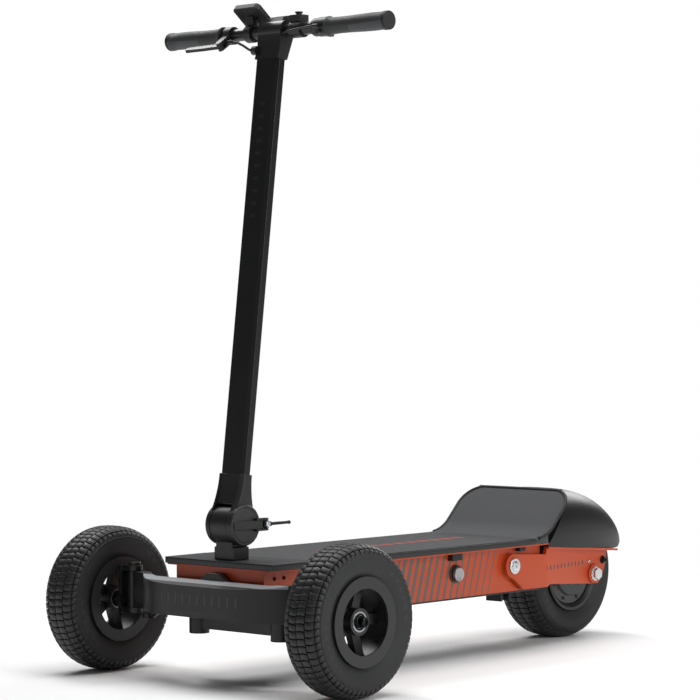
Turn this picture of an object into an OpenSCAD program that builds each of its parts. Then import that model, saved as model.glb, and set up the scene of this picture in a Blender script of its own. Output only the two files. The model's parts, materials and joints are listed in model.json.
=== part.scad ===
// Three-wheel electric board: leaning front beam, box chassis, hub-motor rear wheel and folding stem.
// Millimetres. +X is the rider's left, -Y is forward, +Z is up; the origin is on the ground under the middle.

/* [Overall] */
// Distance from the front axle to the rear axle
wheelbase = 930; // [780:1:1150]
// Distance between the middles of the two front tyres
track = 588; // [520:1:700]
// Reach of the fender tail behind the rear axle
tail_reach = 138; // [134:1:170]
// Height of the handlebar's middle above the ground
bar_height = 1141; // [950:1:1400]

/* [Tyres and wheels] */
// Outer diameter of all three tyres
tyre_d = 260; // [236:1:264]
// Width of a front tyre
front_tyre_w = 78; // [66:1:84]
// Width of the rear tyre
rear_tyre_w = 98; // [78:1:104]
// Outer diameter of a rim's flange
rim_d = 152; // [140:1:160]
// Diameter of the stub axles
stub_d = 17; // [14:1:20]
// Diameter of the rear axle
axle_d = 16; // [12:1:20]

/* [Deck] */
// Width of the deck board
deck_w = 264; // [230:1:320]
// Thickness of the deck board
deck_t = 9.8; // [8:0.2:14]
// Width of the chassis box
chassis_w = 214; // [180:1:230]
// Height of the chassis box
chassis_h = 87; // [75:1:95]
// Thickness of the chassis walls
wall = 4; // [3:0.5:6]
// Length of the smooth plate in front of the grip tape
plate_len = 102; // [85:1:140]
// Height that the kick panel rises above the deck
kick_rise = 85; // [60:1:95]
// Radius of the bend between deck and kick panel
kick_bend = 80; // [55:1:100]

/* [Front beam] */
// Height of the beam's section
beam_h = 64; // [52:1:70]
// How far the beam's face bulges ahead of the front axle
beam_bulge = 68; // [62:1:80]
// Distance of each kingpin inside its tyre's middle
kingpin_inset = 68; // [66:1:80]
// Diameter of the kingpins
kingpin_d = 14; // [10:1:16]
// Diameter of the lean pin
lean_pin_d = 16; // [12:1:20]
// Length of the steering arms behind the kingpins
steer_arm = 30; // [26:1:36]

/* [Swing arm] */
// Distance from the swing arm's pivot to the rear axle
arm_len = 276; // [250:1:300]
// Thickness of an arm plate
arm_t = 8; // [6:0.5:10]
// Diameter of the pivot shaft
pivot_d = 14; // [10:1:18]

/* [Stem and handlebar] */
// Width of the stem tube
stem_w = 56; // [44:1:64]
// Depth of the stem tube
stem_d = 25; // [20:1:32]
// Lean of the stem towards the rider
stem_lean = 7.2; // [3:0.1:9]
// Radius of the folding hinge
hinge_r = 36; // [30:1:40]
// Diameter of the hinge axle
hinge_pin_d = 12; // [8:1:16]
// Length of the handlebar between the grip ends
bar_len = 536; // [460:1:640]
// Diameter of the handlebar tube
bar_d = 22; // [20:0.5:25.4]
// Length of a grip
grip_len = 140; // [110:1:150]

/* [Fits] */
// Gap between parts that pass each other
gap = 0.5; // [0.3:0.1:1]
// Radial play of a running fit
fit = 0.05; // [0.02:0.01:0.1]

/* [Hidden] */
$fn = 64;

// colours
black = "#26282a";
orange = "#b4583c";
steel = "#b9bcc0";
rubber = "#202224";
grey = "#4b4d50";

// places along the board
tyre_r = tyre_d / 2;
front_y = -(wheelbase + tail_reach - tyre_r) / 2;
rear_y = front_y + wheelbase;
pivot_y = rear_y - arm_len;
box_y0 = front_y - 11;
box_y1 = pivot_y + 93;
deck_y0 = front_y - 15;

// heights
deck_top = tyre_r + 84.3;
tape_t = 1.3;
board_top = deck_top - tape_t;
board_z = board_top - deck_t;
flange_t = 2.7;
box_top = board_z;
box_z = box_top - chassis_h;
cover_t = 3;
lean_z = tyre_r + 20;
pivot_z = tyre_r + 35;
box_x = chassis_w / 2;

// kick panel: a bend of radius kick_bend up to 45 degrees, then straight
kick_t = 5;
kick_slope = 45;
kick_ahead = 44;
kick_y0 = box_y1 - kick_ahead;
kick_run = kick_bend * sin(kick_slope);
kick_up = kick_bend * (1 - cos(kick_slope));
kick_end_y = kick_y0 + kick_run + (kick_rise - kick_up);
kick_corner = 45;

// front beam
kingpin_x = track / 2 - kingpin_inset;
beam_z = lean_z - beam_h / 2;
boss_r = kingpin_d / 2 + 7;
face_x = kingpin_x - 42;
beam_back = 38;
rod_z = beam_z + 6;
rod_y = front_y - 25;
rod_r = 5;
eye_z = beam_z - 22;
knuckle_t = 10;
web_x0 = kingpin_x + boss_r + 2;
web_t = 8;

// wheels
bead_r = rim_d / 2;
hub_r = 23;
bearing_r = 17.5;
bearing_w = 12;
// the two bearings sit this far either side of the wheel's middle
bearing_x = 12;
bearing_out = bearing_x + bearing_w;
stub_shoulder = track / 2 - bearing_out - gap;
stub_end = track / 2 + bearing_out + gap;

// swing arm: straight plates that close in from the pivot to the axle
arm_x_pivot = box_x + 4;
arm_x_axle = rear_tyre_w / 2 + 39;
knee_y = box_y1 + 6;
heel_y = rear_y - 35;
arm_top_front = box_top - 8.5;
arm_top_rear = pivot_z + 10.5;
arm_tail_y = rear_y + 65;

// stem
hinge_y = front_y + 19;
hinge_z = deck_top + 60.7;
fork_x = 20;
cheek_t = 9.5;
cap_t = 5;
bar_set = 7;
bar_up = (bar_height - hinge_z + bar_set * sin(stem_lean)) / cos(stem_lean);
casting_top = 88;
tube_top = bar_up - 52;

module side(s) { if (s > 0) children(); else mirror([1, 0, 0]) children(); }
module at_x(x, y, z, r, h) { translate([x, y, z]) rotate([0, 90, 0]) cylinder(r = r, h = h); }
module at_y(x, y, z, r, h) { translate([x, y, z]) rotate([-90, 0, 0]) cylinder(r = r, h = h); }
module at_z(x, y, z, r, h) { translate([x, y, z]) cylinder(r = r, h = h); }
module block(x0, x1, y0, y1, z0, z1) { translate([x0, y0, z0]) cube([x1 - x0, y1 - y0, z1 - z0]); }
// extrudes a (y, z) outline along X from x0 to x1
module along_x(x0, x1) {
  translate([x0, 0, 0]) rotate([90, 0, 90]) linear_extrude(x1 - x0) children();
}
// a straight round rod between two points
module rod(a, b, r) {
  d = b - a;
  length = norm(d);
  translate(a) rotate([0, acos(d[2] / length), atan2(d[1], d[0])]) cylinder(r = r, h = length);
}
module rounded(w, h, r) {
  square([w - 2 * r, h], center = true);
  square([w, h - 2 * r], center = true);
  for (i = [-1, 1], j = [-1, 1]) translate([i * (w / 2 - r), j * (h / 2 - r)]) circle(r);
}

// ---- chassis box ----
screw_r = 3.5;
module side_rail() {
  difference() {
    union() {
      block(box_x - wall, box_x, box_y0, box_y1, box_z, box_top - flange_t);
      block(box_x - wall, deck_w / 2 - 2, box_y0, box_y1, box_top - flange_t, box_top);
      at_x(box_x - wall, pivot_y, pivot_z, 24, wall + 3.5);
    }
    at_x(box_x - wall - 1, pivot_y, pivot_z, pivot_d / 2, wall + 8);
  }
}
module side_rail_left() { color(orange) side_rail(); }
module side_rail_right() { color(orange) mirror([1, 0, 0]) side_rail(); }
module front_wall() {
  color(orange) difference() {
    block(-box_x + wall, box_x - wall, box_y0, box_y0 + wall, box_z, box_top);
    at_y(0, box_y0 - 1, lean_z, lean_pin_d / 2, wall + 2);
  }
}
module rear_wall() {
  color(orange) block(-box_x + wall, box_x - wall, box_y1 - wall, box_y1, box_z, box_top);
}
module bottom_cover() { color(black) block(-box_x, box_x, box_y0, box_y1, box_z - cover_t, box_z); }
module deck_board() { color(black) block(-deck_w / 2, deck_w / 2, deck_y0, kick_y0, board_z, board_top); }
module front_plate() {
  color(grey) block(-deck_w / 2, deck_w / 2, deck_y0, deck_y0 + plate_len - 0.3, board_top, deck_top);
}
module grip_tape() {
  color(grey) block(-deck_w / 2 + 3, deck_w / 2 - 3, deck_y0 + plate_len, kick_y0, board_top, deck_top);
}
function arc(cy, cz, r, a0, a1, n) = [for (i = [0:n]) let (a = a0 + (a1 - a0) * i / n) [cy + r * sin(a), cz - r * cos(a)]];
// the panel's side outline, t below the walking surface
module kick_outline(t) {
  rise = kick_rise - kick_up;
  polygon(concat(
    arc(kick_y0, deck_top + kick_bend, kick_bend, 0, kick_slope, 10),
    [[kick_y0 + kick_run + rise, deck_top + kick_up + rise]],
    [[kick_y0 + kick_run + rise + t * sin(kick_slope), deck_top + kick_up + rise - t * cos(kick_slope)]],
    arc(kick_y0, deck_top + kick_bend, kick_bend + t, kick_slope, 0, 10)));
}
module kick_panel() {
  color(grey) intersection() {
    along_x(-deck_w / 2 + 1, deck_w / 2 - 1) union() {
      kick_outline(kick_t);
      polygon([[kick_y0, board_z], [kick_y0 + 40, board_z], [kick_y0 + 40, deck_top + 6], [kick_y0, deck_top - 1]]);
    }
    translate([0, kick_end_y, deck_top + kick_rise]) rotate([kick_slope, 0, 0]) translate([0, -130, -160])
      linear_extrude(320) rounded(deck_w - 2, 260, kick_corner);
  }
}
module battery_pack() {
  color("#3a5d7a") block(-box_x + wall + 6, box_x - wall - 6, box_y0 + 70, box_y0 + 70 + 0.46 * (box_y1 - box_y0),
    box_z + 1, box_top - 4);
}
module motor_controller() {
  y0 = box_y0 + 90 + 0.46 * (box_y1 - box_y0);
  color("#8a8d90") {
    block(-60, 60, y0, y0 + 110, box_z, box_z + 26);
    for (i = [0:8]) block(-56 + i * 13.5, -52 + i * 13.5, y0, y0 + 110, box_z + 26, box_z + 38);
  }
}
module chassis_screws() {
  color(steel) for (s = [-1, 1]) {
    for (d = [15, 38.5]) side(s) at_x(box_x, front_y + d, box_top - 16, screw_r, 2.5);
    side(s) at_x(box_x, pivot_y + 44, box_top - 8, 4, 3);
    for (y = [box_y0 + 20, (box_y0 + box_y1) / 2, box_y1 - 60])
      at_z(s * (box_x - 12), y, box_z - cover_t - 2, 4, 2);
  }
}
module charge_port() {
  y = pivot_y - 158;
  z = box_z + 45;
  color(black) {
    at_x(box_x, y, z, 17, 3);
    at_x(box_x + 3, y, z, 13, 9);
  }
}
module bump_blocks() {
  color(black) for (s = [-1, 1]) side(s) {
    block(box_x, box_x + 12, pivot_y - 179, pivot_y - 151, box_top - flange_t - 14, box_top - flange_t);
    block(box_x, box_x + 12, pivot_y + 18, pivot_y + 36, box_top - flange_t - 9, box_top - flange_t);
  }
}

// ---- lean joint and steering ----
gable_y0 = front_y - 29;
module gable_bracket() {
  color(black) difference() {
    translate([0, box_y0, 0]) rotate([90, 0, 0]) linear_extrude(box_y0 - gable_y0) union() {
      polygon([[-55, lean_z + 4], [55, lean_z + 4], [55, lean_z + 16], [13, lean_z + 43], [-13, lean_z + 43],
        [-55, lean_z + 16]]);
      translate([0, lean_z]) circle(lean_pin_d / 2 + 9);
    }
    at_y(0, gable_y0 - 1, lean_z, lean_pin_d / 2, 40);
  }
}
module lean_pin() {
  color(steel) difference() {
    union() {
      at_y(0, gable_y0 - 26, lean_z, lean_pin_d / 2, box_y0 + wall - gable_y0 + 26);
      at_y(0, box_y0 + wall, lean_z, lean_pin_d / 2 + 6, 6);
    }
    at_y(0, box_y0 + wall + 2, lean_z, 4, 5);
  }
}
bone_h = 36;
bone_r = 18;
bone_x = box_x - 7;
bone_y = front_y + 38;
module steering_bracket() {
  y0 = box_y0 - 6;
  color(black) {
    difference() {
      block(-12, 12, y0, box_y0, box_z + 1, rod_z + 7);
      block(-3.4, 3.4, y0 - 1, box_y0 + 1, rod_z - 5, rod_z + 5.5);
    }
    z = box_z - cover_t - bone_h;
    block(-bone_x + 10, bone_x - 10, bone_y - 8, bone_y + 8, z + 9, z + bone_h);
    for (s = [-1, 1]) side(s) {
      difference() {
        at_z(bone_x, bone_y, z, bone_r, bone_h);
        at_z(bone_x, bone_y, z - 1, 5, 14);
      }
    }
  }
}

// ---- front beam ----
function face_y(x) = -beam_bulge + (beam_bulge - 18) * pow(abs(x) / face_x, 4);
beam_n = 18;
module beam_plan() {
  face = [for (i = [-beam_n:beam_n]) let (x = i * face_x / beam_n) [x, front_y + face_y(x)]];
  polygon(concat(face, [[kingpin_x - 8, front_y - boss_r + 2], [kingpin_x - 8, front_y + boss_r - 2],
    [face_x + 6, front_y + 6], [face_x - 30, front_y - 24], [face_x - 46, front_y - beam_back + 8],
    [-face_x + 46, front_y - beam_back + 8], [-face_x + 30, front_y - 24], [-face_x - 6, front_y + 6],
    [-kingpin_x + 8, front_y + boss_r - 2], [-kingpin_x + 8, front_y - boss_r + 2]]));
}
bush_r = lean_pin_d / 2 + 6;
module front_beam() {
  color(black) difference() {
    union() {
      intersection() {
        translate([0, 0, beam_z]) linear_extrude(beam_h) beam_plan();
        translate([-kingpin_x, 0, 0]) along_x(0, 2 * kingpin_x) polygon([
          [front_y - beam_bulge - 1, beam_z + 12], [front_y - beam_bulge + 8, beam_z], [front_y + 30, beam_z],
          [front_y + 30, beam_z + beam_h], [front_y - 24, beam_z + beam_h],
          [front_y - beam_bulge - 1, beam_z + beam_h - 9]]);
      }
      for (s = [-1, 1]) at_z(s * kingpin_x, front_y, beam_z, boss_r, beam_h);
    }
    for (s = [-1, 1]) at_z(s * kingpin_x, front_y, beam_z - 1, kingpin_d / 2 + fit, beam_h + 2);
    at_y(0, gable_y0 - 27, lean_z, bush_r, 60);
  }
}
module lean_bush() {
  color(rubber) difference() {
    at_y(0, gable_y0 - 26, lean_z, bush_r, 24);
    at_y(0, gable_y0 - 27, lean_z, lean_pin_d / 2 + fit, 40);
  }
}
module kingpins() {
  color(steel) for (s = [-1, 1]) {
    at_z(s * kingpin_x, front_y, beam_z - gap - knuckle_t, kingpin_d / 2, beam_h + 2 * (gap + knuckle_t));
    at_z(s * kingpin_x, front_y, beam_z + beam_h + 2 * gap + knuckle_t, kingpin_d / 2 + 4, 5);
    at_z(s * kingpin_x, front_y, beam_z + beam_h + gap + knuckle_t, kingpin_d / 2, gap + 1);
  }
}
stud_r = 3;
module tie_rod() {
  eye = [kingpin_x, front_y + steer_arm, eye_z + 4];
  bend = [box_x + 20, rod_y, rod_z];
  color(grey) {
    at_x(-bend[0], rod_y, rod_z, rod_r, 2 * bend[0]);
    at_y(0, rod_y, rod_z, stud_r, box_y0 - 1 - rod_y);
    for (s = [-1, 1]) side(s) {
      translate(bend) sphere(rod_r);
      rod(bend, eye - [15, 0, 0], rod_r - 0.5);
      difference() {
        union() {
          at_z(eye[0], eye[1], eye_z, 10, 8);
          block(eye[0] - 20, eye[0] - 7, eye[1] - 5, eye[1] + 5, eye_z, eye_z + 8);
        }
        translate([eye[0], eye[1], eye_z - 1]) linear_extrude(10) {
          square([2 * stud_r + 0.6, 4], center = true);
          for (j = [-2, 2]) translate([0, j]) circle(stud_r + 0.3);
        }
      }
    }
  }
}

// ---- steering knuckles ----
module knuckle() {
  z0 = beam_z - gap - knuckle_t;
  z1 = beam_z + beam_h + gap;
  color(black) difference() {
    union() {
      for (z = [z0, z1]) {
        at_z(kingpin_x, front_y, z, boss_r, knuckle_t);
        block(kingpin_x, web_x0 + 1, front_y - boss_r, front_y + boss_r, z, z + knuckle_t);
      }
      block(web_x0, web_x0 + web_t, front_y - 18, front_y + 18, z0, z1 + knuckle_t);
      at_x(web_x0, front_y, tyre_r, 22, web_t + 2);
      block(kingpin_x - 7, kingpin_x + 7, front_y, front_y + steer_arm, z0, z0 + 7);
      at_z(kingpin_x, front_y + steer_arm, z0, 7, 7);
      at_z(kingpin_x, front_y + steer_arm, eye_z - 2, stud_r, z0 - eye_z + 3);
      at_x(web_x0, front_y, tyre_r, stub_d / 2 + 3, stub_shoulder - web_x0);
      at_x(web_x0, front_y, tyre_r, stub_d / 2, stub_end - web_x0);
    }
    for (z = [z0, z1]) at_z(kingpin_x, front_y, z - 1, kingpin_d / 2 + fit, knuckle_t + 2);
  }
}
module knuckle_left() { knuckle(); }
module knuckle_right() { mirror([1, 0, 0]) knuckle(); }
module stub_nuts() {
  x = stub_end;
  color(steel) {
    at_x(x, front_y, tyre_r, stub_d / 2 + 2.5, 2);
    translate([x + 2, front_y, tyre_r]) rotate([0, 90, 0]) cylinder(r = stub_d / 2 + 3, h = 8, $fn = 6);
    at_x(x + 10, front_y, tyre_r, stub_d / 2 - 2, 3);
  }
}
module stub_nuts_left() { stub_nuts(); }
module stub_nuts_right() { mirror([1, 0, 0]) stub_nuts(); }

// ---- front wheels ----
rim_w = front_tyre_w - 4;
spoke_n = 5;
module front_rim() {
  h = rim_w / 2;
  cx = track / 2;
  color(black) translate([cx, front_y, tyre_r]) rotate([0, 90, 0]) difference() {
    union() {
      rotate_extrude() polygon([[bead_r - 20, -h], [bead_r, -h], [bead_r, -h + 5], [bead_r - 8, -h + 12],
        [bead_r - 8, h - 12], [bead_r, h - 5], [bead_r, h], [bead_r - 20, h], [bead_r - 20, h - 5],
        [bead_r - 13, h - 14], [bead_r - 13, -h + 14], [bead_r - 20, -h + 5]]);
      translate([0, 0, -bearing_out]) cylinder(r = hub_r, h = 2 * bearing_out);
      for (i = [0:spoke_n - 1]) rotate([0, 0, 90 + i * 360 / spoke_n]) translate([hub_r - 2, -9, -7])
        cube([bead_r - 7 - hub_r, 18, 14]);
    }
    translate([0, 0, bearing_x]) cylinder(r = bearing_r, h = bearing_w + 1);
    translate([0, 0, -bearing_out - 1]) cylinder(r = bearing_r, h = bearing_w + 1);
    translate([0, 0, -60]) cylinder(r = stub_d / 2 + 3, h = 120);
  }
}
module front_rim_left() { front_rim(); }
module front_rim_right() { mirror([1, 0, 0]) front_rim(); }
// tyre casing: a hollow ring with rounded shoulders, seated on the rim
module tyre(cx, cy, w, seat) {
  r0 = bead_r;
  sec = (tyre_r - r0) / 2;
  color(rubber) translate([cx, cy, tyre_r]) rotate([0, 90, 0]) rotate_extrude($fn = 96) difference() {
    union() {
      translate([r0, -seat]) square([sec, 2 * seat]);
      translate([r0 + sec, 0]) rounded(2 * sec, w, min(0.48 * sec * 2, 0.36 * w));
    }
    translate([r0 + sec - 1, 0]) rounded(2 * sec - 14, w - 14, min(0.4 * sec * 2, 0.3 * w));
    translate([r0 - 1, -seat + 7]) square([sec, 2 * seat - 14]);
  }
}
module front_tyre_left() { tyre(track / 2, front_y, front_tyre_w, rim_w / 2 - 5.3); }
module front_tyre_right() { tyre(-track / 2, front_y, front_tyre_w, rim_w / 2 - 5.3); }
module hub_bearings() {
  color(steel) for (s = [-1, 1]) difference() {
    at_x(track / 2 + s * (bearing_x + bearing_w / 2) - bearing_w / 2, front_y, tyre_r, bearing_r, bearing_w);
    at_x(track / 2 - 60, front_y, tyre_r, stub_d / 2 + fit, 120);
  }
}
module hub_bearings_left() { hub_bearings(); }
module hub_bearings_right() { mirror([1, 0, 0]) hub_bearings(); }

// ---- swing arm ----
function arm_in(y) = arm_x_pivot - (arm_x_pivot - arm_x_axle) * max(0, min(1, (y - knee_y) / (heel_y - knee_y)));
module arm_strip(t) {
  ys = [pivot_y - 40, knee_y, heel_y, arm_tail_y];
  polygon(concat([for (y = ys) [arm_in(y), y]], [for (i = [3:-1:0]) [arm_in(ys[i]) + t, ys[i]]]));
}
arm_step_y = box_y1 + 8;
flange_out = 20;
function top_z(y) = arm_top_front + (arm_top_rear - arm_top_front) * (y - arm_step_y) / (arm_tail_y - arm_step_y);
module arm_outline() {
  low = box_z + 5;
  polygon([[pivot_y - 4, pivot_z - 22], [pivot_y - 4, pivot_z + 20], [pivot_y + 5, pivot_z + 22],
    [arm_step_y - 4, pivot_z + 16], [arm_step_y, arm_top_front],
    [arm_tail_y - 22, top_z(arm_tail_y - 22)], [rear_y + 42, pivot_z - 10], [rear_y + 28, pivot_z - 44],
    [rear_y + 14, low - 11], [rear_y - 3, low - 11], [rear_y - 164, low + 1], [rear_y - 172, low - 3],
    [pivot_y + 30, low - 3]]);
  translate([pivot_y, pivot_z]) circle(23);
}
module arm() {
  difference() {
    union() {
      intersection() {
        along_x(0, 200) arm_outline();
        linear_extrude(400) arm_strip(arm_t);
      }
      intersection() {
        along_x(0, 200) polygon([[arm_step_y, top_z(arm_step_y)], [arm_tail_y, top_z(arm_tail_y)],
          [arm_tail_y, top_z(arm_tail_y) - 4], [arm_step_y, top_z(arm_step_y) - 4]]);
        linear_extrude(400) polygon([[arm_in(arm_step_y), arm_step_y], [arm_x_pivot + arm_t + 4, arm_step_y],
          [arm_x_axle + flange_out, arm_tail_y], [arm_x_axle, arm_tail_y], [arm_x_axle, heel_y]]);
      }
      at_x(arm_x_pivot, pivot_y, pivot_z, 19, arm_t + 1);
      at_x(arm_x_axle, rear_y, tyre_r, 19, arm_t + 5);
    }
    at_x(0, pivot_y, pivot_z, pivot_d / 2 + fit, 200);
    at_x(0, rear_y, tyre_r, axle_d / 2, 200);
    block(0, 200, rear_y - 2, rear_y + 2, 0, tyre_r - 17);
  }
}
module swing_arm() {
  plate_x = arm_in(arm_step_y + 4) + 1;
  color(orange) {
    arm();
    mirror([1, 0, 0]) arm();
    block(-plate_x, plate_x, arm_step_y + 4, arm_step_y + 12, pivot_z - 40, pivot_z + 14);
  }
}
module pivot_shaft() {
  end = arm_x_pivot + arm_t + 1 + gap;
  color(steel) {
    at_x(-end, pivot_y, pivot_z, pivot_d / 2, 2 * end);
    for (s = [-1, 1]) side(s) difference() {
      at_x(end, pivot_y, pivot_z, 15, 2);
      at_x(end + 1, pivot_y, pivot_z, 3, 3);
    }
  }
}
module rear_axle() {
  end = arm_x_axle + arm_t + 5;
  color(steel) {
    at_x(-end - 4, rear_y, tyre_r, axle_d / 2, 2 * end + 8);
    for (s = [-1, 1]) side(s) {
      at_x(end, rear_y, tyre_r, 14, 2);
      translate([end + 2, rear_y, tyre_r]) rotate([0, 90, 0]) cylinder(r = 12, h = 7, $fn = 6);
    }
  }
}
module suspension_rubber() {
  x = box_x - 29;
  y = pivot_y + 10;
  z = box_z - cover_t;
  color(black) for (s = [-1, 1]) side(s) {
    block(x - 18, x + 18, y - 22, y - 16, z - 16, z);
    at_y(x, y - 16, z - 9, 7, 18);
    block(x - 18, x + 18, y + 2, y + 8, z - 16, z);
    block(30, 60, box_y1, arm_step_y + 1, pivot_z - 36, pivot_z - 12);
  }
}

// ---- rear wheel with hub motor ----
shell_w = rear_tyre_w - 8;
cover_r = bead_r - 12;
// raised inner disc of a cover, and the circle of bolt heads round it
disc_r = cover_r - 18;
cover_bolt_r = (disc_r + cover_r) / 2;
module motor_shell() {
  h = shell_w / 2;
  color(black) translate([0, rear_y, tyre_r]) rotate([0, 90, 0]) rotate_extrude() polygon([
    [cover_r, -h + 6], [bead_r - 6, -h], [bead_r, -h], [bead_r, -h + 5], [bead_r - 8, -h + 12],
    [bead_r - 8, h - 12], [bead_r, h - 5], [bead_r, h], [bead_r - 6, h], [cover_r, h - 6]]);
}
module motor_covers() {
  color(grey) for (s = [-1, 1]) side(s) difference() {
    union() {
      at_x(shell_w / 2 - 14, rear_y, tyre_r, cover_r, 7);
      at_x(shell_w / 2 - 8, rear_y, tyre_r, disc_r, 6);
      for (i = [0:7]) translate([shell_w / 2 - 8, rear_y, tyre_r]) rotate([i * 45, 0, 0])
        translate([0, cover_bolt_r, 0]) rotate([0, 90, 0]) cylinder(r = 3, h = 4);
    }
    at_x(0, rear_y, tyre_r, axle_d / 2 + fit, 200);
  }
}
module motor_stator() {
  color("#a5683a") difference() {
    at_x(-shell_w / 2 + 18, rear_y, tyre_r, cover_r - 3, shell_w - 36);
    at_x(-200, rear_y, tyre_r, axle_d / 2, 400);
  }
}
module rear_tyre() { tyre(0, rear_y, rear_tyre_w, shell_w / 2 - 5.3); }

// ---- fender ----
fender_t = 3;
fender_y0 = box_y1 + 7;
fender_y1 = rear_y + tail_reach - 8;
fender_w0 = deck_w / 2 - 11;
fender_w1 = 60;
fender_top = deck_top + kick_rise;
seam_lean = 0.89;
sec_n = 14;
rib_n = 24;
function spread(s) = fender_y0 + (fender_y1 - fender_y0) * s;
function sill(y) = y < arm_tail_y ? top_z(max(y, arm_step_y)) + 0.01 : top_z(arm_tail_y) + 0.01;
function half_w(s) = fender_w1 + (fender_w0 - fender_w1) * pow(max(0, 1 - pow(s, 2.2)), 0.62);
function lean_of(s) = seam_lean * pow(1 - s, 2.2);
function roof(y) = let (u = min(0.98, max(0, (y - fender_y0 - 75) / (tail_reach + rear_y - fender_y0 - 75))))
  sill(y) + (fender_top - sill(y)) * pow(1 - pow(u, 2.4), 0.588);
function power(v, p) = sign(v) * pow(abs(v), p);
function fender_ring(s, t) = let (y = spread(s), zb = sill(y), zr = roof(y + lean_of(s) * (fender_top - 20 - zb)))
  [for (j = [0:rib_n]) let (a = 180 * j / rib_n, z = zb + (zr - t - zb) * power(sin(a), 0.62))
    [(half_w(s) - t) * power(cos(a), 0.62), y + lean_of(s) * (z - zb), z]];
module shell_between(outer, inner) {
  n = len(outer);
  m = len(outer[0]);
  points = concat([for (r = outer) each r], [for (r = inner) each r]);
  off = n * m;
  faces = concat(
    [for (i = [0:n - 2], j = [0:m - 2]) each [[i * m + j, (i + 1) * m + j, (i + 1) * m + j + 1],
      [i * m + j, (i + 1) * m + j + 1, i * m + j + 1]]],
    [for (i = [0:n - 2], j = [0:m - 2]) each [[off + i * m + j, off + (i + 1) * m + j + 1, off + (i + 1) * m + j],
      [off + i * m + j, off + i * m + j + 1, off + (i + 1) * m + j + 1]]],
    [for (j = [0:m - 2]) each [[j, j + 1, off + j + 1], [j, off + j + 1, off + j]]],
    [for (j = [0:m - 2]) let (k = (n - 1) * m) each [[k + j, off + k + j + 1, k + j + 1],
      [k + j, off + k + j, off + k + j + 1]]],
    [for (i = [0:n - 2]) each [[i * m, off + (i + 1) * m, (i + 1) * m], [i * m, off + i * m, off + (i + 1) * m]]],
    [for (i = [0:n - 2]) let (k = m - 1) each [[i * m + k, (i + 1) * m + k, off + (i + 1) * m + k],
      [i * m + k, off + (i + 1) * m + k, off + i * m + k]]]);
  polyhedron(points, faces, convexity = 6);
}
module fender() {
  color(black) shell_between([for (i = [0:sec_n]) fender_ring(i / sec_n, 0)],
    [for (i = [0:sec_n]) fender_ring(i / sec_n, fender_t)]);
}
module fender_tip() {
  last = fender_ring(1, fender_t);
  zb = sill(fender_y1);
  color(grey) hull() {
    translate([0, fender_y1 + 0.3, zb]) rotate([-90, 0, 0]) mirror([0, 1, 0]) linear_extrude(1)
      polygon([for (p = last) [p[0], p[2] - zb]]);
    translate([-fender_w1 + 14, fender_y1 + 7.5, zb]) cube([2 * fender_w1 - 28, 0.5, 4]);
  }
}

// ---- post and folding hinge ----
module handle_post() {
  z0 = deck_top;
  color(black) difference() {
    union() {
      block(-24, 24, hinge_y - 19, hinge_y + 19, z0, hinge_z - hinge_r - 2);
      block(-fork_x, fork_x, hinge_y - 19, hinge_y + 19, z0 + 5, hinge_z);
      at_x(-fork_x, hinge_y, hinge_z, hinge_r - 1, 2 * fork_x);
    }
    at_x(-fork_x - 5, hinge_y, hinge_z, hinge_pin_d / 2, 60);
  }
}
pin_end = fork_x + gap + cheek_t + gap;
module hinge_axle() {
  color(steel) {
    at_x(-pin_end, hinge_y, hinge_z, hinge_pin_d / 2, 2 * pin_end);
    at_x(-pin_end - 4, hinge_y, hinge_z, hinge_pin_d / 2 + 6, 4);
  }
}
lever_x = pin_end + cap_t + 3;
lever_y = hinge_y + hinge_r + 9;
module hinge_cap() {
  color(grey) difference() {
    union() {
      at_x(pin_end, hinge_y, hinge_z, hinge_r, cap_t);
      for (z = [hinge_z - 11, hinge_z + 6.5]) {
        block(pin_end + 1.5, lever_x, hinge_y + 20, lever_y, z, z + 4.5);
        at_z(lever_x, lever_y, z, 5.5, 4.5);
      }
      at_z(lever_x, lever_y, hinge_z - 11, 2.5, 22);
    }
    block(pin_end + cap_t - 1.2, pin_end + cap_t + 1, hinge_y - hinge_r, hinge_y + 18, hinge_z - 6, hinge_z + 6);
  }
}
module fold_lever() {
  color(grey) {
    difference() {
      union() {
        at_z(lever_x, lever_y, hinge_z - 6, 5.5, 12);
        at_y(lever_x, lever_y + 2, hinge_z, 4.5, 12);
      }
      at_z(lever_x, lever_y, hinge_z - 12, 2.5 + fit, 24);
    }
    at_y(lever_x, lever_y + 14, hinge_z, 2.6, 43);
    translate([lever_x, lever_y + 58, hinge_z]) sphere(3.2);
  }
}

// ---- stem, in its own leaning frame ----
module in_stem() { translate([0, hinge_y, hinge_z]) rotate([-stem_lean, 0, 0]) children(); }
module stem_casting() {
  bridge = hinge_r + 2;
  color(black) in_stem() difference() {
    union() {
      for (s = [-1, 1]) side(s) {
        at_x(fork_x + gap, 0, 0, hinge_r - 0.5, cheek_t);
        block(fork_x + gap, fork_x + gap + cheek_t, -21, 24, 0, bridge + 2);
      }
      hull() {
        translate([-fork_x - gap - cheek_t, -21, bridge]) cube([2 * (fork_x + gap + cheek_t), 45, 1]);
        translate([-stem_w / 2 - 3, -stem_d / 2 - 3, casting_top - 16]) cube([stem_w + 6, stem_d + 6, 16]);
      }
    }
    for (s = [-1, 1]) side(s) at_x(fork_x, 0, 0, hinge_pin_d / 2 + fit, 20);
    translate([0, 0, bridge + 8]) linear_extrude(100) square([stem_w - 6, stem_d - 6], center = true);
    translate([0, 0, casting_top - 12]) linear_extrude(100) tube_section(0);
  }
}
chamfer = 6;
module tube_section(t) {
  w = stem_w / 2 - t;
  d = stem_d / 2 - t;
  polygon([[-w, -d + chamfer], [-w + chamfer, -d], [w - chamfer, -d], [w, -d + chamfer], [w, d - chamfer],
    [w - chamfer, d], [-w + chamfer, d], [-w, d - chamfer]]);
}
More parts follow.
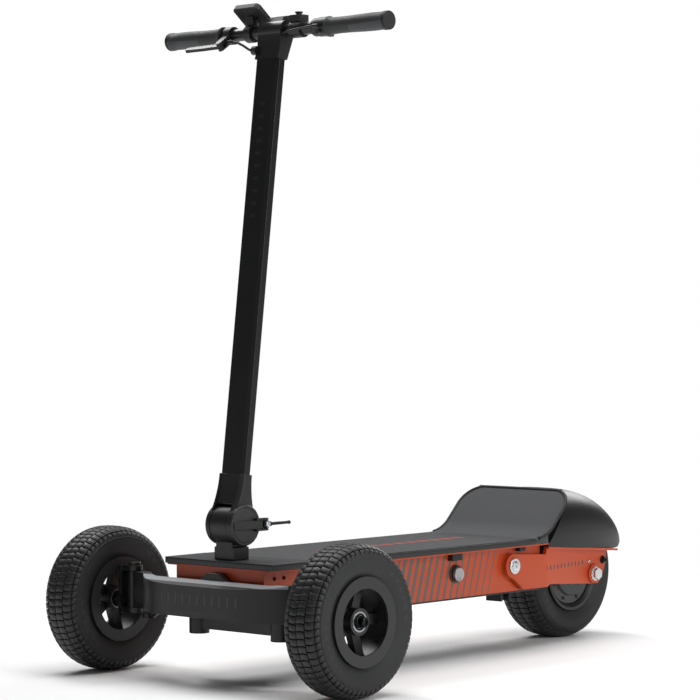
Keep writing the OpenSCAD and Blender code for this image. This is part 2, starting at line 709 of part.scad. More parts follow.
module stem_tube() {
  color(black) in_stem() translate([0, 0, casting_top - 12]) linear_extrude(tube_top - casting_top + 12)
    difference() {
      tube_section(0);
      tube_section(3.2);
    }
}
head_r = bar_d / 2 + 8;
module stem_head() {
  color(black) in_stem() difference() {
    union() {
      along_x(-stem_w / 2, stem_w / 2) {
        polygon([[-stem_d / 2, tube_top], [stem_d / 2, tube_top], [bar_set + head_r - 2, bar_up - 8],
          [bar_set, bar_up], [bar_set - head_r + 1, bar_up + 2], [-stem_d / 2 + 4, tube_top + 26]]);
        translate([bar_set, bar_up]) circle(head_r);
      }
      at_x(-stem_w / 2 - 6, bar_set - bar_d / 2 - 7.5, bar_up - bar_d / 2 - 25, 8, 10);
      along_x(-stem_w / 2 + 6, stem_w / 2 - 6)
        polygon([[bar_set - head_r + 2, bar_up + 4], [bar_set - 6, bar_up + 24], [bar_set + 22, bar_up + 33],
          [bar_set + 24, bar_up + 28], [bar_set + 10, bar_up + 16], [bar_set + 6, bar_up]]);
    }
    at_x(-100, bar_set, bar_up, bar_d / 2, 200);
  }
}
module on_bar() { in_stem() translate([0, bar_set, bar_up]) rotate([stem_lean, 0, 0]) children(); }
module handlebar() {
  color(black) on_bar() difference() {
    at_x(-bar_len / 2 + 6, 0, 0, bar_d / 2, bar_len - 12);
    for (s = [-1, 1]) side(s) at_x(bar_len / 2 - 120, 0, 0, bar_d / 2 - 2, 200);
  }
}
grip_wall = 5.5;
grip_r = bar_d / 2 + grip_wall;
module grips() {
  color(grey) on_bar() for (s = [-1, 1]) side(s) translate([bar_len / 2 - 6, 0, 0]) rotate([0, -90, 0]) difference() {
    rotate_extrude() polygon([[0, 0], [grip_r, 0], [grip_r, 4], [grip_r - 1.5, 8], [grip_r - 1, 50],
      [grip_r - 2, 90], [grip_r - 1.5, grip_len - 12], [grip_r + 1, grip_len - 8], [grip_r + 1, grip_len - 6],
      [0, grip_len - 6]]);
    translate([0, 0, -1]) cylinder(r = bar_d / 2, h = grip_len + 2);
  }
}
module grip_caps() {
  color(black) on_bar() for (s = [-1, 1]) side(s) {
    at_x(bar_len / 2 - 6, 0, 0, grip_r, 6);
    at_x(bar_len / 2 - 16, 0, 0, bar_d / 2 - 2, 10);
  }
}

// ---- controls ----
clamp_x = bar_len / 2 - grip_len - 14;
module ring(x, w, r) {
  difference() {
    at_x(x, 0, 0, r, w);
    at_x(x - 1, 0, 0, bar_d / 2, w + 2);
  }
}
disp_x = -60;
disp_tilt = 38;
module display() {
  color(black) on_bar() {
    ring(disp_x - 8, 16, bar_d / 2 + 5);
    block(disp_x - 7, disp_x + 7, -6, 6, bar_d / 2 + 2, bar_d / 2 + 20);
    translate([disp_x, 0, bar_d / 2 + 18]) rotate([-disp_tilt, 0, 0]) linear_extrude(10) rounded(62, 50, 8);
  }
}
module display_screen() {
  color("#10181e") on_bar() translate([disp_x, 0, bar_d / 2 + 18]) rotate([-disp_tilt, 0, 0])
    translate([0, 0, 10]) linear_extrude(1) rounded(52, 40, 4);
}
module throttle_clamp() {
  color(black) on_bar() {
    ring(clamp_x - 6, 20, bar_d / 2 + 6);
    at_y(clamp_x + 4, -bar_d / 2 - 9, -10, 4, 6);
    at_x(clamp_x - 6, -bar_d / 2 - 10, 0, 3.5, 12);
    block(clamp_x - 6, clamp_x + 6, -bar_d / 2 - 10, -bar_d / 2 - 2, -3, 3);
  }
}
module throttle_paddle() {
  color(grey) on_bar() {
    difference() {
      at_x(clamp_x - 18, 0, 0, bar_d / 2 + 5, 11);
      at_x(clamp_x - 30, 0, 0, bar_d / 2 + fit, 60);
    }
    block(clamp_x - 17, clamp_x - 8, bar_d / 2 + 3, bar_d / 2 + 26, -14, -8);
  }
}
lever_len = 82;
perch_x = -clamp_x;
brake_drop = 35;
pull_y = -bar_d / 2 - 24;
module in_brake() { on_bar() rotate([brake_drop, 0, 0]) children(); }
module brake_perch() {
  color(black) in_brake() {
    ring(perch_x - 5, 16, bar_d / 2 + 5);
    for (z = [-8, 4]) {
      block(perch_x - 3, perch_x + 9, pull_y + 2, -bar_d / 2 - 1, z, z + 4);
      at_z(perch_x + 3, pull_y, z, 6, 4);
    }
    block(perch_x - 3, perch_x + 9, pull_y + 9, -bar_d / 2 - 1, -5, 5);
    at_z(perch_x + 3, pull_y, -8, 2.5, 16);
    at_x(perch_x + 8, pull_y + 12, 0, 3.5, 17);
  }
}
module brake_lever() {
  color(grey) in_brake() difference() {
    union() {
      at_z(perch_x + 3, pull_y, -3.5, 6, 7);
      linear_extrude(6, center = true) polygon([[perch_x + 3, pull_y - 6], [perch_x + 3, pull_y + 5],
        [perch_x - 12, pull_y + 3], [perch_x - lever_len + 6, pull_y], [perch_x - lever_len, pull_y - 5],
        [perch_x - lever_len + 4, pull_y - 9], [perch_x - 30, pull_y - 8]]);
    }
    at_z(perch_x + 3, pull_y, -9, 2.5 + fit, 20);
  }
}
pod_x = stem_w / 2 + 14;
module switch_pod() {
  color(black) on_bar() {
    ring(pod_x, 26, bar_d / 2 + 4);
    difference() {
      block(pod_x, pod_x + 26, -10, 12, bar_d / 2 + 2, bar_d / 2 + 14);
      at_z(pod_x + 13, 1, bar_d / 2 + 8, 5 + gap, 20);
    }
  }
}
module horn_button() {
  color(grey) on_bar() {
    at_z(pod_x + 13, 1, bar_d / 2 + 11, 5, 7);
    at_z(pod_x + 13, 1, bar_d / 2 + 17, 7, 3);
  }
}
// swept tube along fixed points
function unit(v) = v / norm(v);
module swept(points, r, n) {
  dirs = [for (i = [0:len(points) - 1]) unit(points[min(i + 1, len(points) - 1)] - points[max(i - 1, 0)])];
  rings = [for (i = [0:len(points) - 1]) let (d = dirs[i], u = unit(cross(d, abs(d[0]) > 0.9 ? [0, 1, 0] : [1, 0, 0])),
    v = cross(d, u)) [for (k = [0:n - 1]) points[i] + r * (cos(360 * k / n) * u + sin(360 * k / n) * v)]];
  m = len(points);
  polyhedron([for (q = rings) each q], concat(
    [for (i = [0:m - 2], k = [0:n - 1]) let (a = i * n + k, b = i * n + (k + 1) % n)
      each [[a, a + n, b + n], [a, b + n, b]]],
    [[for (k = [0:n - 1]) k]], [[for (k = [n - 1:-1:0]) (m - 1) * n + k]]));
}
// routes run from a control (t = 0) to the stem head (t = 1): share of the way, then y and z from the bar's surface
brake_route = [[0, -8, -2], [0.2, -12, -4], [0.42, -14, -8], [0.62, -14, -13], [0.8, -13, -19], [0.92, -12, -22],
  [1, -11, -23]];
display_route = [[0, 0, 13], [0.25, 0, 13], [0.5, -1, 10], [0.75, -3, 5], [1, -4, 3]];
throttle_route = [[0, -10, 0], [0.15, -10, 0], [0.3, -9, -1], [0.5, -9, -2], [0.7, -8, -4], [0.85, -6, -5],
  [1, -3, -6]];
// side is the side of the bar, as y and z, that the cable runs on
module cable(route, x0, x1, r, side) {
  swept([for (p = route) [x0 + (x1 - x0) * p[0], p[1] + side[0] * bar_d / 2, p[2] + side[1] * bar_d / 2]], r, 8);
}
module control_cables() {
  color(black) on_bar() {
    cable(brake_route, perch_x + 25, -stem_w / 2 - 6, 2.2, [-1, -1]);
    cable(display_route, disp_x + 7, -stem_w / 2, 1.6, [0, 1]);
    cable(throttle_route, clamp_x - 6, stem_w / 2, 2, [-1, 0]);
  }
}

side_rail_left();
side_rail_right();
front_wall();
rear_wall();
bottom_cover();
deck_board();
front_plate();
grip_tape();
kick_panel();
battery_pack();
motor_controller();
handle_post();
hinge_axle();
hinge_cap();
charge_port();
gable_bracket();
lean_pin();
steering_bracket();
pivot_shaft();
bump_blocks();
suspension_rubber();
chassis_screws();
fold_lever();
front_beam();
lean_bush();
kingpins();
tie_rod();
knuckle_left();
knuckle_right();
stub_nuts_left();
stub_nuts_right();
front_rim_left();
front_rim_right();
front_tyre_left();
front_tyre_right();
hub_bearings_left();
hub_bearings_right();
swing_arm();
rear_axle();
motor_stator();
fender();
fender_tip();
motor_shell();
motor_covers();
rear_tyre();
stem_casting();
stem_tube();
stem_head();
handlebar();
grips();
grip_caps();
display();
display_screen();
throttle_clamp();
throttle_paddle();
brake_perch();
brake_lever();
switch_pod();
horn_button();
control_cables();
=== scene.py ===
import json
import math
import bmesh
import bpy
from mathutils import Matrix, Vector

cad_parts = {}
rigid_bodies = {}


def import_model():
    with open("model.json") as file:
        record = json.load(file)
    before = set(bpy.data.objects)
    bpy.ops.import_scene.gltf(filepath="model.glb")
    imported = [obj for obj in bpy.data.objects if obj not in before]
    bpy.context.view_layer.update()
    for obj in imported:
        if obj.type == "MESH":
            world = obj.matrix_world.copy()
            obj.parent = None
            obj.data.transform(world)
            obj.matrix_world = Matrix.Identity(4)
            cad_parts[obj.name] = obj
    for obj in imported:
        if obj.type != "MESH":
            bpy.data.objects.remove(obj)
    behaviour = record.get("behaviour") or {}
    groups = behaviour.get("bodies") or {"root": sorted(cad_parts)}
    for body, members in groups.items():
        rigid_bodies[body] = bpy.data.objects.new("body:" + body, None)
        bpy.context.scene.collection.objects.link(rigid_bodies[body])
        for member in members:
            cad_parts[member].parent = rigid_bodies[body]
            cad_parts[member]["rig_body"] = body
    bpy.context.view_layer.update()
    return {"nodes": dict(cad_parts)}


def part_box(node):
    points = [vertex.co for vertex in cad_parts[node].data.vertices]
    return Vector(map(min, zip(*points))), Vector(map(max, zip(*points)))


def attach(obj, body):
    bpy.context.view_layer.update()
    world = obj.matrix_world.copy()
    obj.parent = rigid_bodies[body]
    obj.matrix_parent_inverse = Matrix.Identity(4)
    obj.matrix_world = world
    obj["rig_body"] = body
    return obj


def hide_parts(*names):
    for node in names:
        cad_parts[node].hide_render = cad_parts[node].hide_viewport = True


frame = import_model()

# ---- Studio ----
# A long lens stands well back, a little above the deck, ahead and to the left of the board. The floor is pale
# paper, and soft boxes on both sides and overhead give the paint its broad, even lights.
MM = 0.001
front_low, front_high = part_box("front_tyre_left")
rear_low, rear_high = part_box("rear_tyre")
front_axle = Vector((0, (front_low.y + front_high.y) / 2, (front_low.z + front_high.z) / 2))
rear_axle = Vector((0, (rear_low.y + rear_high.y) / 2, (rear_low.z + rear_high.z) / 2))
scene = bpy.context.scene


def aim_camera(place, heading, tilt, roll, lens):
    """A camera at place that looks back along heading and tilt (degrees from straight ahead and from level)."""
    a, p, r = (math.radians(v) for v in (heading, tilt, roll))
    back = Vector((math.sin(a) * math.cos(p), -math.cos(a) * math.cos(p), math.sin(p)))
    side = (-back).cross(Vector((0, 0, 1))).normalized()
    above = side.cross(-back)
    turned = side * math.cos(r) + above * math.sin(r)
    data = bpy.data.cameras.new("studio_camera")
    data.lens = lens
    data.sensor_width = 36
    data.clip_end = 200
    camera = bpy.data.objects.new("studio_camera", data)
    axes = Matrix((turned, above * math.cos(r) - side * math.sin(r), back)).transposed()
    camera.matrix_world = Matrix.Translation(place) @ axes.to_4x4()
    scene.collection.objects.link(camera)
    scene.camera = camera


aim_camera(place=Vector((3.32, front_axle.y - 3.3216, 0.634)), heading=42.3, tilt=0.68, roll=-0.19, lens=139.1)


def add_node(tree, kind, links=None, settings=None, **inputs):
    """Adds one node: plain settings by attribute, inputs by socket name or number, links from other sockets."""
    node = tree.nodes.new(kind)
    for key, value in (settings or {}).items():
        setattr(node, key, value)
    for key, value in inputs.items():
        socket = node.inputs[int(key[1:])] if key[0] == "_" else node.inputs[key.replace("_", " ")]
        socket.default_value = value
    for key, source in (links or {}).items():
        tree.links.new(source, node.inputs[key])
    return node


def srgb(code):
    """A hex colour as the linear colour that the shaders want."""
    parts = [int(code[i:i + 2], 16) / 255 for i in (1, 3, 5)]
    return tuple(c / 12.92 if c <= 0.04045 else ((c + 0.055) / 1.055) ** 2.4 for c in parts) + (1.0,)


def new_material(name):
    """An empty node material with its Principled shader and its output."""
    material = bpy.data.materials.new(name)
    material.use_nodes = True
    tree = material.node_tree
    tree.nodes.clear()
    shader = add_node(tree, "ShaderNodeBsdfPrincipled")
    add_node(tree, "ShaderNodeOutputMaterial", {"Surface": shader.outputs["BSDF"]})
    return material, tree, shader


def noise(tree, scale, detail):
    """Soft noise over the object's own space, as a socket."""
    place = add_node(tree, "ShaderNodeTexCoord")
    made = add_node(tree, "ShaderNodeTexNoise", {"Vector": place.outputs["Object"]}, Scale=scale, Detail=detail)
    return made.outputs["Fac"]


def studio_paper():
    """Matt pale paper that is lit to plain white away from the board."""
    near_board, all_white = 0.62, 1.9
    material, tree, shader = new_material("studio_paper")
    tint = add_node(tree, "ShaderNodeMapRange", {"Value": noise(tree, 6.0, 3.0)}, _3=0.86, _4=0.90)
    tree.links.new(tint.outputs["Result"], shader.inputs["Base Color"])
    shader.inputs["Roughness"].default_value = 0.9
    place = add_node(tree, "ShaderNodeTexCoord")
    far = add_node(tree, "ShaderNodeVectorMath", {0: place.outputs["Object"]}, {"operation": "LENGTH"})
    share = add_node(tree, "ShaderNodeMapRange", {"Value": far.outputs["Value"]},
                     {"interpolation_type": "SMOOTHERSTEP"}, _1=near_board, _2=all_white)
    white = add_node(tree, "ShaderNodeEmission", Strength=1.0)
    blend = add_node(tree, "ShaderNodeMixShader", {0: share.outputs["Result"], 1: shader.outputs["BSDF"],
                                                   2: white.outputs["Emission"]})
    output = next(node for node in tree.nodes if node.type == "OUTPUT_MATERIAL")
    tree.links.new(blend.outputs["Shader"], output.inputs["Surface"])
    return material


def lay_floor():
    """One large flat sheet at ground level."""
    mesh = bpy.data.meshes.new("studio_floor")
    reach = 60
    mesh.from_pydata([(-reach, -reach, 0), (reach, -reach, 0), (reach, reach, 0), (-reach, reach, 0)], [],
                     [(0, 1, 2, 3)])
    floor = bpy.data.objects.new("studio_floor", mesh)
    floor.data.materials.append(studio_paper())
    scene.collection.objects.link(floor)


def soft_box(name, place, size, watts):
    """An area light at place, in metres, that faces the middle of the board."""
    middle = Vector((0, 0, 0.4))
    data = bpy.data.lights.new(name, "AREA")
    data.shape = "RECTANGLE"
    data.size, data.size_y = size
    data.energy = watts
    light = bpy.data.objects.new(name, data)
    light.location = place
    light.rotation_euler = (middle - Vector(place)).to_track_quat("-Z", "Y").to_euler()
    scene.collection.objects.link(light)


lay_floor()
soft_box("key_box", (-2.8, 0.6, 3.6), size=(1.6, 1.6), watts=85)
soft_box("side_box", (4.0, 0.2, 1.7), size=(1.2, 2.8), watts=85)
soft_box("top_box", (0.3, 0.2, 3.6), size=(2.4, 3.0), watts=105)
soft_box("rear_box", (-1.2, 4.0, 2.2), size=(2.0, 1.4), watts=60)
world = bpy.data.worlds.new("studio_air")
world.use_nodes = True
scene.world = world
air = world.node_tree
air.nodes["Background"].inputs["Color"].default_value = (1, 1, 1, 1)
fill_light, backdrop = 0.12, 1.0
eye = add_node(air, "ShaderNodeLightPath")
strength = add_node(air, "ShaderNodeMapRange", {"Value": eye.outputs["Is Camera Ray"]}, _3=fill_light, _4=backdrop)
air.links.new(strength.outputs["Result"], air.nodes["Background"].inputs["Strength"])
scene.view_settings.view_transform = "Standard"


# ---- Chassis box ----
# The box under the deck is folded aluminium sheet, 4 mm thick, welded at the corners and powder coated orange.
# Each side wears a field of grey stripes, sprayed through a mask, and the belly plate is screwed on, black.
ORANGE = "#b13f0e"
STRIPE_GREY = "#57504b"


def emboss(tree, shader, height, strength, distance):
    """Bumps the surface by a height socket."""
    bump = add_node(tree, "ShaderNodeBump", {"Height": height}, Strength=strength, Distance=distance)
    tree.links.new(bump.outputs["Normal"], shader.inputs["Normal"])


def coated(name, code, roughness=0.42, shade=0.10, grain=650.0, depth=0.10, metallic=0.0):
    """A coating: faint orange peel a millimetre or two across, with colour and sheen clouding a little."""
    material, tree, shader = new_material(name)
    cloud = noise(tree, 11.0, 4.0)
    base = srgb(code)
    low = tuple(c * (1 - shade) for c in base[:3]) + (1,)
    high = tuple(min(1, c * (1 + shade)) for c in base[:3]) + (1,)
    tint = add_node(tree, "ShaderNodeMix", {"Factor": cloud}, {"data_type": "RGBA"}, _6=low, _7=high)
    sheen = add_node(tree, "ShaderNodeMapRange", {"Value": cloud}, _3=roughness - 0.05, _4=roughness + 0.07)
    emboss(tree, shader, noise(tree, grain, 2.0), depth, 0.0004)
    tree.links.new(tint.outputs[2], shader.inputs["Base Color"])
    tree.links.new(sheen.outputs["Result"], shader.inputs["Roughness"])
    shader.inputs["Metallic"].default_value = metallic
    return material, tree, shader, tint.outputs[2]


def calc(tree, kind, *values):
    """One maths node on numbers and sockets; returns its output socket."""
    node = add_node(tree, "ShaderNodeMath", settings={"operation": kind})
    for i, value in enumerate(values):
        if isinstance(value, (int, float)):
            node.inputs[i].default_value = value
        else:
            tree.links.new(value, node.inputs[i])
    return node.outputs[0]


def within(tree, value, low, high):
    """A mask that is 1 where a value lies between two numbers."""
    return calc(tree, "MULTIPLY", calc(tree, "GREATER_THAN", value, low), calc(tree, "LESS_THAN", value, high))


def both(tree, *masks):
    """The masks multiplied together."""
    product = masks[0]
    for mask in masks[1:]:
        product = calc(tree, "MULTIPLY", product, mask)
    return product


def place_axes(tree, centre=(0, 0, 0)):
    """The object coordinates as three sockets, measured from a centre."""
    place = add_node(tree, "ShaderNodeTexCoord")
    moved = add_node(tree, "ShaderNodeVectorMath", {0: place.outputs["Object"]}, {"operation": "SUBTRACT"}, _1=centre)
    axis = add_node(tree, "ShaderNodeSeparateXYZ", {"Vector": moved.outputs["Vector"]})
    return axis.outputs["X"], axis.outputs["Y"], axis.outputs["Z"]


def overlay(tree, shader, base, mask, code):
    """Paints a second colour over the base wherever the mask is 1."""
    paint = add_node(tree, "ShaderNodeMix", {"Factor": mask, 6: base}, {"data_type": "RGBA"}, _7=srgb(code))
    tree.links.new(paint.outputs[2], shader.inputs["Base Color"])
    return paint.outputs[2]


def striped_coat():
    """The orange coat with slanted grey stripes, 18.3 mm apart, that thin out towards the back."""
    material, tree, shader, base = coated("orange_coat_striped", ORANGE, 0.40)
    x, y, z = place_axes(tree)
    pitch, lean = 18.3 * MM, 0.288
    first, last = front_axle.y + 340 * MM, front_axle.y + 622 * MM
    thick, thin = 10.5 * MM, 3.0 * MM
    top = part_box("side_rail_left")[1].z
    run = calc(tree, "SUBTRACT", calc(tree, "SUBTRACT", y, calc(tree, "MULTIPLY", z, lean)), first - top * lean)
    share = calc(tree, "DIVIDE", run, last - first)
    half = calc(tree, "SUBTRACT", thick / 2, calc(tree, "MULTIPLY", share, (thick - thin) / 2))
    stripe = calc(tree, "LESS_THAN", calc(tree, "PINGPONG", run, pitch / 2), half)
    below_edge = calc(tree, "LESS_THAN", z, top - 5 * MM)
    overlay(tree, shader, base, both(tree, stripe, within(tree, share, 0.0, 1.0), below_edge), STRIPE_GREY)
    return material


def clean_copy(node):
    """A CAD node's solid as one welded mesh with flat faces joined, ready for its edges to be broken."""
    mesh = frame["nodes"][node].data.copy()
    shape = bmesh.new()
    shape.from_mesh(mesh)
    bmesh.ops.remove_doubles(shape, verts=shape.verts, dist=0.01 * MM)
    bmesh.ops.dissolve_limit(shape, angle_limit=math.radians(0.6), verts=shape.verts, edges=shape.edges)
    shape.to_mesh(mesh)
    shape.free()
    return mesh


def evaluated(piece):
    """The mesh that an object's live modifiers make."""
    bpy.context.view_layer.update()
    return bpy.data.meshes.new_from_object(piece.evaluated_get(bpy.context.evaluated_depsgraph_get()))


def soften(mesh, edge, steps=2, angle=32):
    """Breaks a mesh's sharp edges by edge millimetres, shades it smooth and keeps its flats flat."""
    holder = bpy.data.objects.new("bench", mesh)
    scene.collection.objects.link(holder)
    mesh.shade_smooth()
    if edge > 0:
        round_edge = holder.modifiers.new("edge", "BEVEL")
        round_edge.width = edge * MM
        round_edge.segments = steps
        round_edge.limit_method = "ANGLE"
        round_edge.angle_limit = math.radians(angle)
    holder.modifiers.new("flats", "WEIGHTED_NORMAL").keep_sharp = True
    made = evaluated(holder)
    bpy.data.objects.remove(holder)
    return made


def set_piece(name, mesh, like, material, replaces=True):
    """Links a finished mesh as a piece on the body of a CAD node, at the origin, and takes that node's place."""
    piece = bpy.data.objects.new(name, mesh)
    scene.collection.objects.link(piece)
    mesh.materials.clear()
    mesh.materials.append(material)
    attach(piece, frame["nodes"][like]["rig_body"])
    if replaces:
        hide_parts(like)
    return piece


def from_cad(node, edge, material, steps=2):
    """A CAD node as its maker leaves it: the same solid with broken edges and its real finish."""
    return set_piece(node + "_finished", soften(clean_copy(node), edge, steps), node, material)


orange_coat = coated("orange_coat", ORANGE, 0.40)[0]
black_coat = coated("black_coat", "#131415", 0.36, 0.06)[0]
rail_coat = striped_coat()
for name in ("side_rail_left", "side_rail_right"):
    from_cad(name, 0.6, rail_coat)
for name in ("front_wall", "rear_wall"):
    from_cad(name, 0.4, orange_coat)
from_cad("bottom_cover", 0.6, black_coat)

# ---- Battery and controller ----
# Between the walls lie the battery, cells in a blue heat-shrink sleeve, and the motor controller in a finned
# aluminium extrusion. Both are strapped to the belly plate before the deck goes on.
def ribbed(name, code, pitch, roughness, metallic=0.0):
    """A surface with soft ribs across it, such as shrink wrap over cells or a wound coil."""
    material, tree, shader, base = coated(name, code, roughness, 0.12, metallic=metallic)
    x = place_axes(tree)[0]
    wave = calc(tree, "ABSOLUTE", calc(tree, "SINE", calc(tree, "MULTIPLY", x, math.pi / (pitch * MM))))
    emboss(tree, shader, wave, 0.8, 0.0012)
    return material


from_cad("battery_pack", 3.0, ribbed("battery_sleeve", "#2a4f7a", 21.0, 0.28))
from_cad("motor_controller", 0.4, coated("controller_alloy", "#9a9c9f", 0.45, 0.05, 900.0, metallic=0.9)[0])

# ---- Deck ----
# The deck is one black aluminium plate. Ahead it carries a smooth grey-painted foot plate, and behind that a sheet
# of grip tape like coarse sandpaper, with a row of plain orange bars printed down its middle.
DECK_GREY = "#3a3b3d"
GRIP_GREY = "#303133"
BAR_ORANGE = "#8c3a24"


def gritty(name, code, bars=None):
    """Grip sheet: sharp grains that glint singly, worn in soft patches, with bars of (start, end, half, pitch)."""
    material, tree, shader = new_material(name)
    place = add_node(tree, "ShaderNodeTexCoord")
    grain = add_node(tree, "ShaderNodeTexVoronoi", {"Vector": place.outputs["Object"]}, Scale=1500.0)
    base = srgb(code)
    speck = calc(tree, "MULTIPLY", noise(tree, 2600.0, 1.0), 0.75)
    tone = calc(tree, "ADD", speck, calc(tree, "MULTIPLY", noise(tree, 7.0, 3.0), 0.25))
    tint = add_node(tree, "ShaderNodeMix", {"Factor": tone}, {"data_type": "RGBA"},
                    _6=tuple(c * 0.45 for c in base[:3]) + (1,), _7=tuple(min(1, c * 1.55) for c in base[:3]) + (1,))
    emboss(tree, shader, grain.outputs["Distance"], 0.5, 0.0005)
    tree.links.new(tint.outputs[2], shader.inputs["Base Color"])
    shader.inputs["Roughness"].default_value = 0.78
    if bars:
        start, end, half, pitch = bars
        x, y, z = place_axes(tree)
        beat = calc(tree, "PINGPONG", calc(tree, "SUBTRACT", y, start), pitch / 2)
        mask = both(tree, within(tree, x, -half, half), within(tree, y, start, end),
                    calc(tree, "GREATER_THAN", beat, pitch * 0.19))
        overlay(tree, shader, tint.outputs[2], mask, BAR_ORANGE)
    return material


from_cad("deck_board", 1.2, black_coat)
from_cad("front_plate", 0.4, coated("foot_plate_coat", DECK_GREY, 0.36, 0.05)[0])
printed_bars = (front_axle.y + 240 * MM, front_axle.y + 640 * MM, 12 * MM, 34 * MM)
from_cad("grip_tape", 0.2, gritty("grip_tape_grit", GRIP_GREY, printed_bars))

# ---- Kick panel ----
# The kick panel is the same plate bent up 45 degrees, with rounded corners and grip sheet over the whole face.
# A black rubber strip is pressed on its free edge so that a foot can push against it.
def build(points, faces):
    """A welded mesh from points in metres, with its faces turned outwards."""
    mesh = bpy.data.meshes.new("made")
    mesh.from_pydata(points, [], faces)
    shape = bmesh.new()
    shape.from_mesh(mesh)
    bmesh.ops.remove_doubles(shape, verts=shape.verts, dist=0.001 * MM)
    bmesh.ops.recalc_face_normals(shape, faces=shape.faces)
    shape.to_mesh(mesh)
    shape.free()
    return mesh


def tube(points, radius, sides=14, finer=5):
    """A round tube through points, in metres, smoothed by a Catmull-Rom curve."""
    pts = [Vector(p) for p in points]
    ends = [pts[0] * 2 - pts[1]] + pts + [pts[-1] * 2 - pts[-2]]
    path = []
    for a, b, c, d in zip(ends, ends[1:], ends[2:], ends[3:]):
        for k in range(finer):
            t = k / finer
            path.append(0.5 * ((2 * b) + (c - a) * t + (2 * a - 5 * b + 4 * c - d) * t * t
                               + (3 * b - a - 3 * c + d) * t ** 3))
    path.append(pts[-1])
    rings = []
    for i, p in enumerate(path):
        ahead = (path[min(i + 1, len(path) - 1)] - path[max(i - 1, 0)]).normalized()
        u = ahead.cross(Vector((0, 0, 1))).normalized()
        v = ahead.cross(u)
        rings.append([p + radius * (math.cos(math.tau * k / sides) * u + math.sin(math.tau * k / sides) * v)
                      for k in range(sides)])
    faces = [(i * sides + k, i * sides + (k + 1) % sides, (i + 1) * sides + (k + 1) % sides, (i + 1) * sides + k)
             for i in range(len(rings) - 1) for k in range(sides)]
    faces += [tuple(range(sides)), tuple(reversed(range((len(rings) - 1) * sides, len(rings) * sides)))]
    return build([tuple(p) for ring in rings for p in ring], faces)


# The kick panel's grip sheet is the deck's sheet in a lighter grey: painted light, for the face tilted up towards the
# lamps.
lit_kick_grit = gritty("kick_panel_grit_painted_light", "#434446")
from_cad("kick_panel", 1.2, lit_kick_grit)
rubber_black = coated("block_rubber", "#111213", 0.62, 0.08, 500.0, 0.2)[0]
kick_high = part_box("kick_panel")[1]
bend, corner, half = 80 * MM, 45 * MM, kick_high.x
panel_reach, panel_rise, trim_radius = 121.7 * MM, 85 * MM, 3.2 * MM
foot_y, foot_z = kick_high.y - panel_reach, kick_high.z - panel_rise
bend_end = Vector((0, foot_y + bend * math.sin(math.pi / 4), foot_z + bend * (1 - math.cos(math.pi / 4))))
uphill = Vector((0, 1, 1)).normalized()
straight = (kick_high.z - bend_end.z) * math.sqrt(2) - corner
edge_line = [Vector((half, foot_y + bend * math.sin(a), foot_z + bend * (1 - math.cos(a))))
             for a in (0.12, 0.26, 0.4, 0.54, 0.68)]
edge_line += [bend_end + uphill * straight * k + Vector((half, 0, 0)) for k in (0.15, 0.6, 1.0)]
edge_line += [bend_end + uphill * (straight + corner * math.sin(a))
              + Vector((half - corner + corner * math.cos(a), 0, 0)) for a in (0.26, 0.52, 0.79, 1.05, 1.31, 1.57)]
edge_line += [Vector((-p.x, p.y, p.z)) for p in reversed(edge_line)]
edge_line = [p + Vector((0, 0.7, -0.7)) * MM for p in edge_line]
trim = soften(tube(edge_line, trim_radius, sides=12, finer=3), 0)
set_piece("kick_edge_trim", trim, "kick_panel", rubber_black, replaces=False)

# ---- Chassis fixings ----
# Button-head screws with hex sockets hold the gable bracket, the bump blocks and the belly plate. The charging port
# is a turned cap on a black base, and the blocks are rubber, pressed under the flange.
def lathe(profile, steps=48):
    """A closed ring of (along X, radius) points turned about the X axis."""
    count = len(profile)
    turn = [2 * math.pi * k / steps for k in range(steps)]
    points = [(x * MM, r * MM * math.cos(a), r * MM * math.sin(a)) for a in turn for x, r in profile]
    faces = [(k * count + i, k * count + (i + 1) % count, (k + 1) % steps * count + (i + 1) % count,
              (k + 1) % steps * count + i) for k in range(steps) for i in range(count)]
    return build(points, faces)


def moved(mesh, place=(0, 0, 0), turn=None, flip=False):
    """Moves a mesh's own points: an optional turn, an optional mirror across X, then a shift."""
    mesh.transform(Matrix.Translation(place) @ (turn or Matrix.Identity(4)))
    if flip:
        mesh.transform(Matrix.Scale(-1, 4, (1, 0, 0)))
        mesh.flip_normals()
    return mesh


def merged(*meshes):
    """Several meshes as one."""
    shape = bmesh.new()
    for mesh in meshes:
        shape.from_mesh(mesh)
    made = bpy.data.meshes.new("merged")
    shape.to_mesh(made)
    shape.free()
    return made


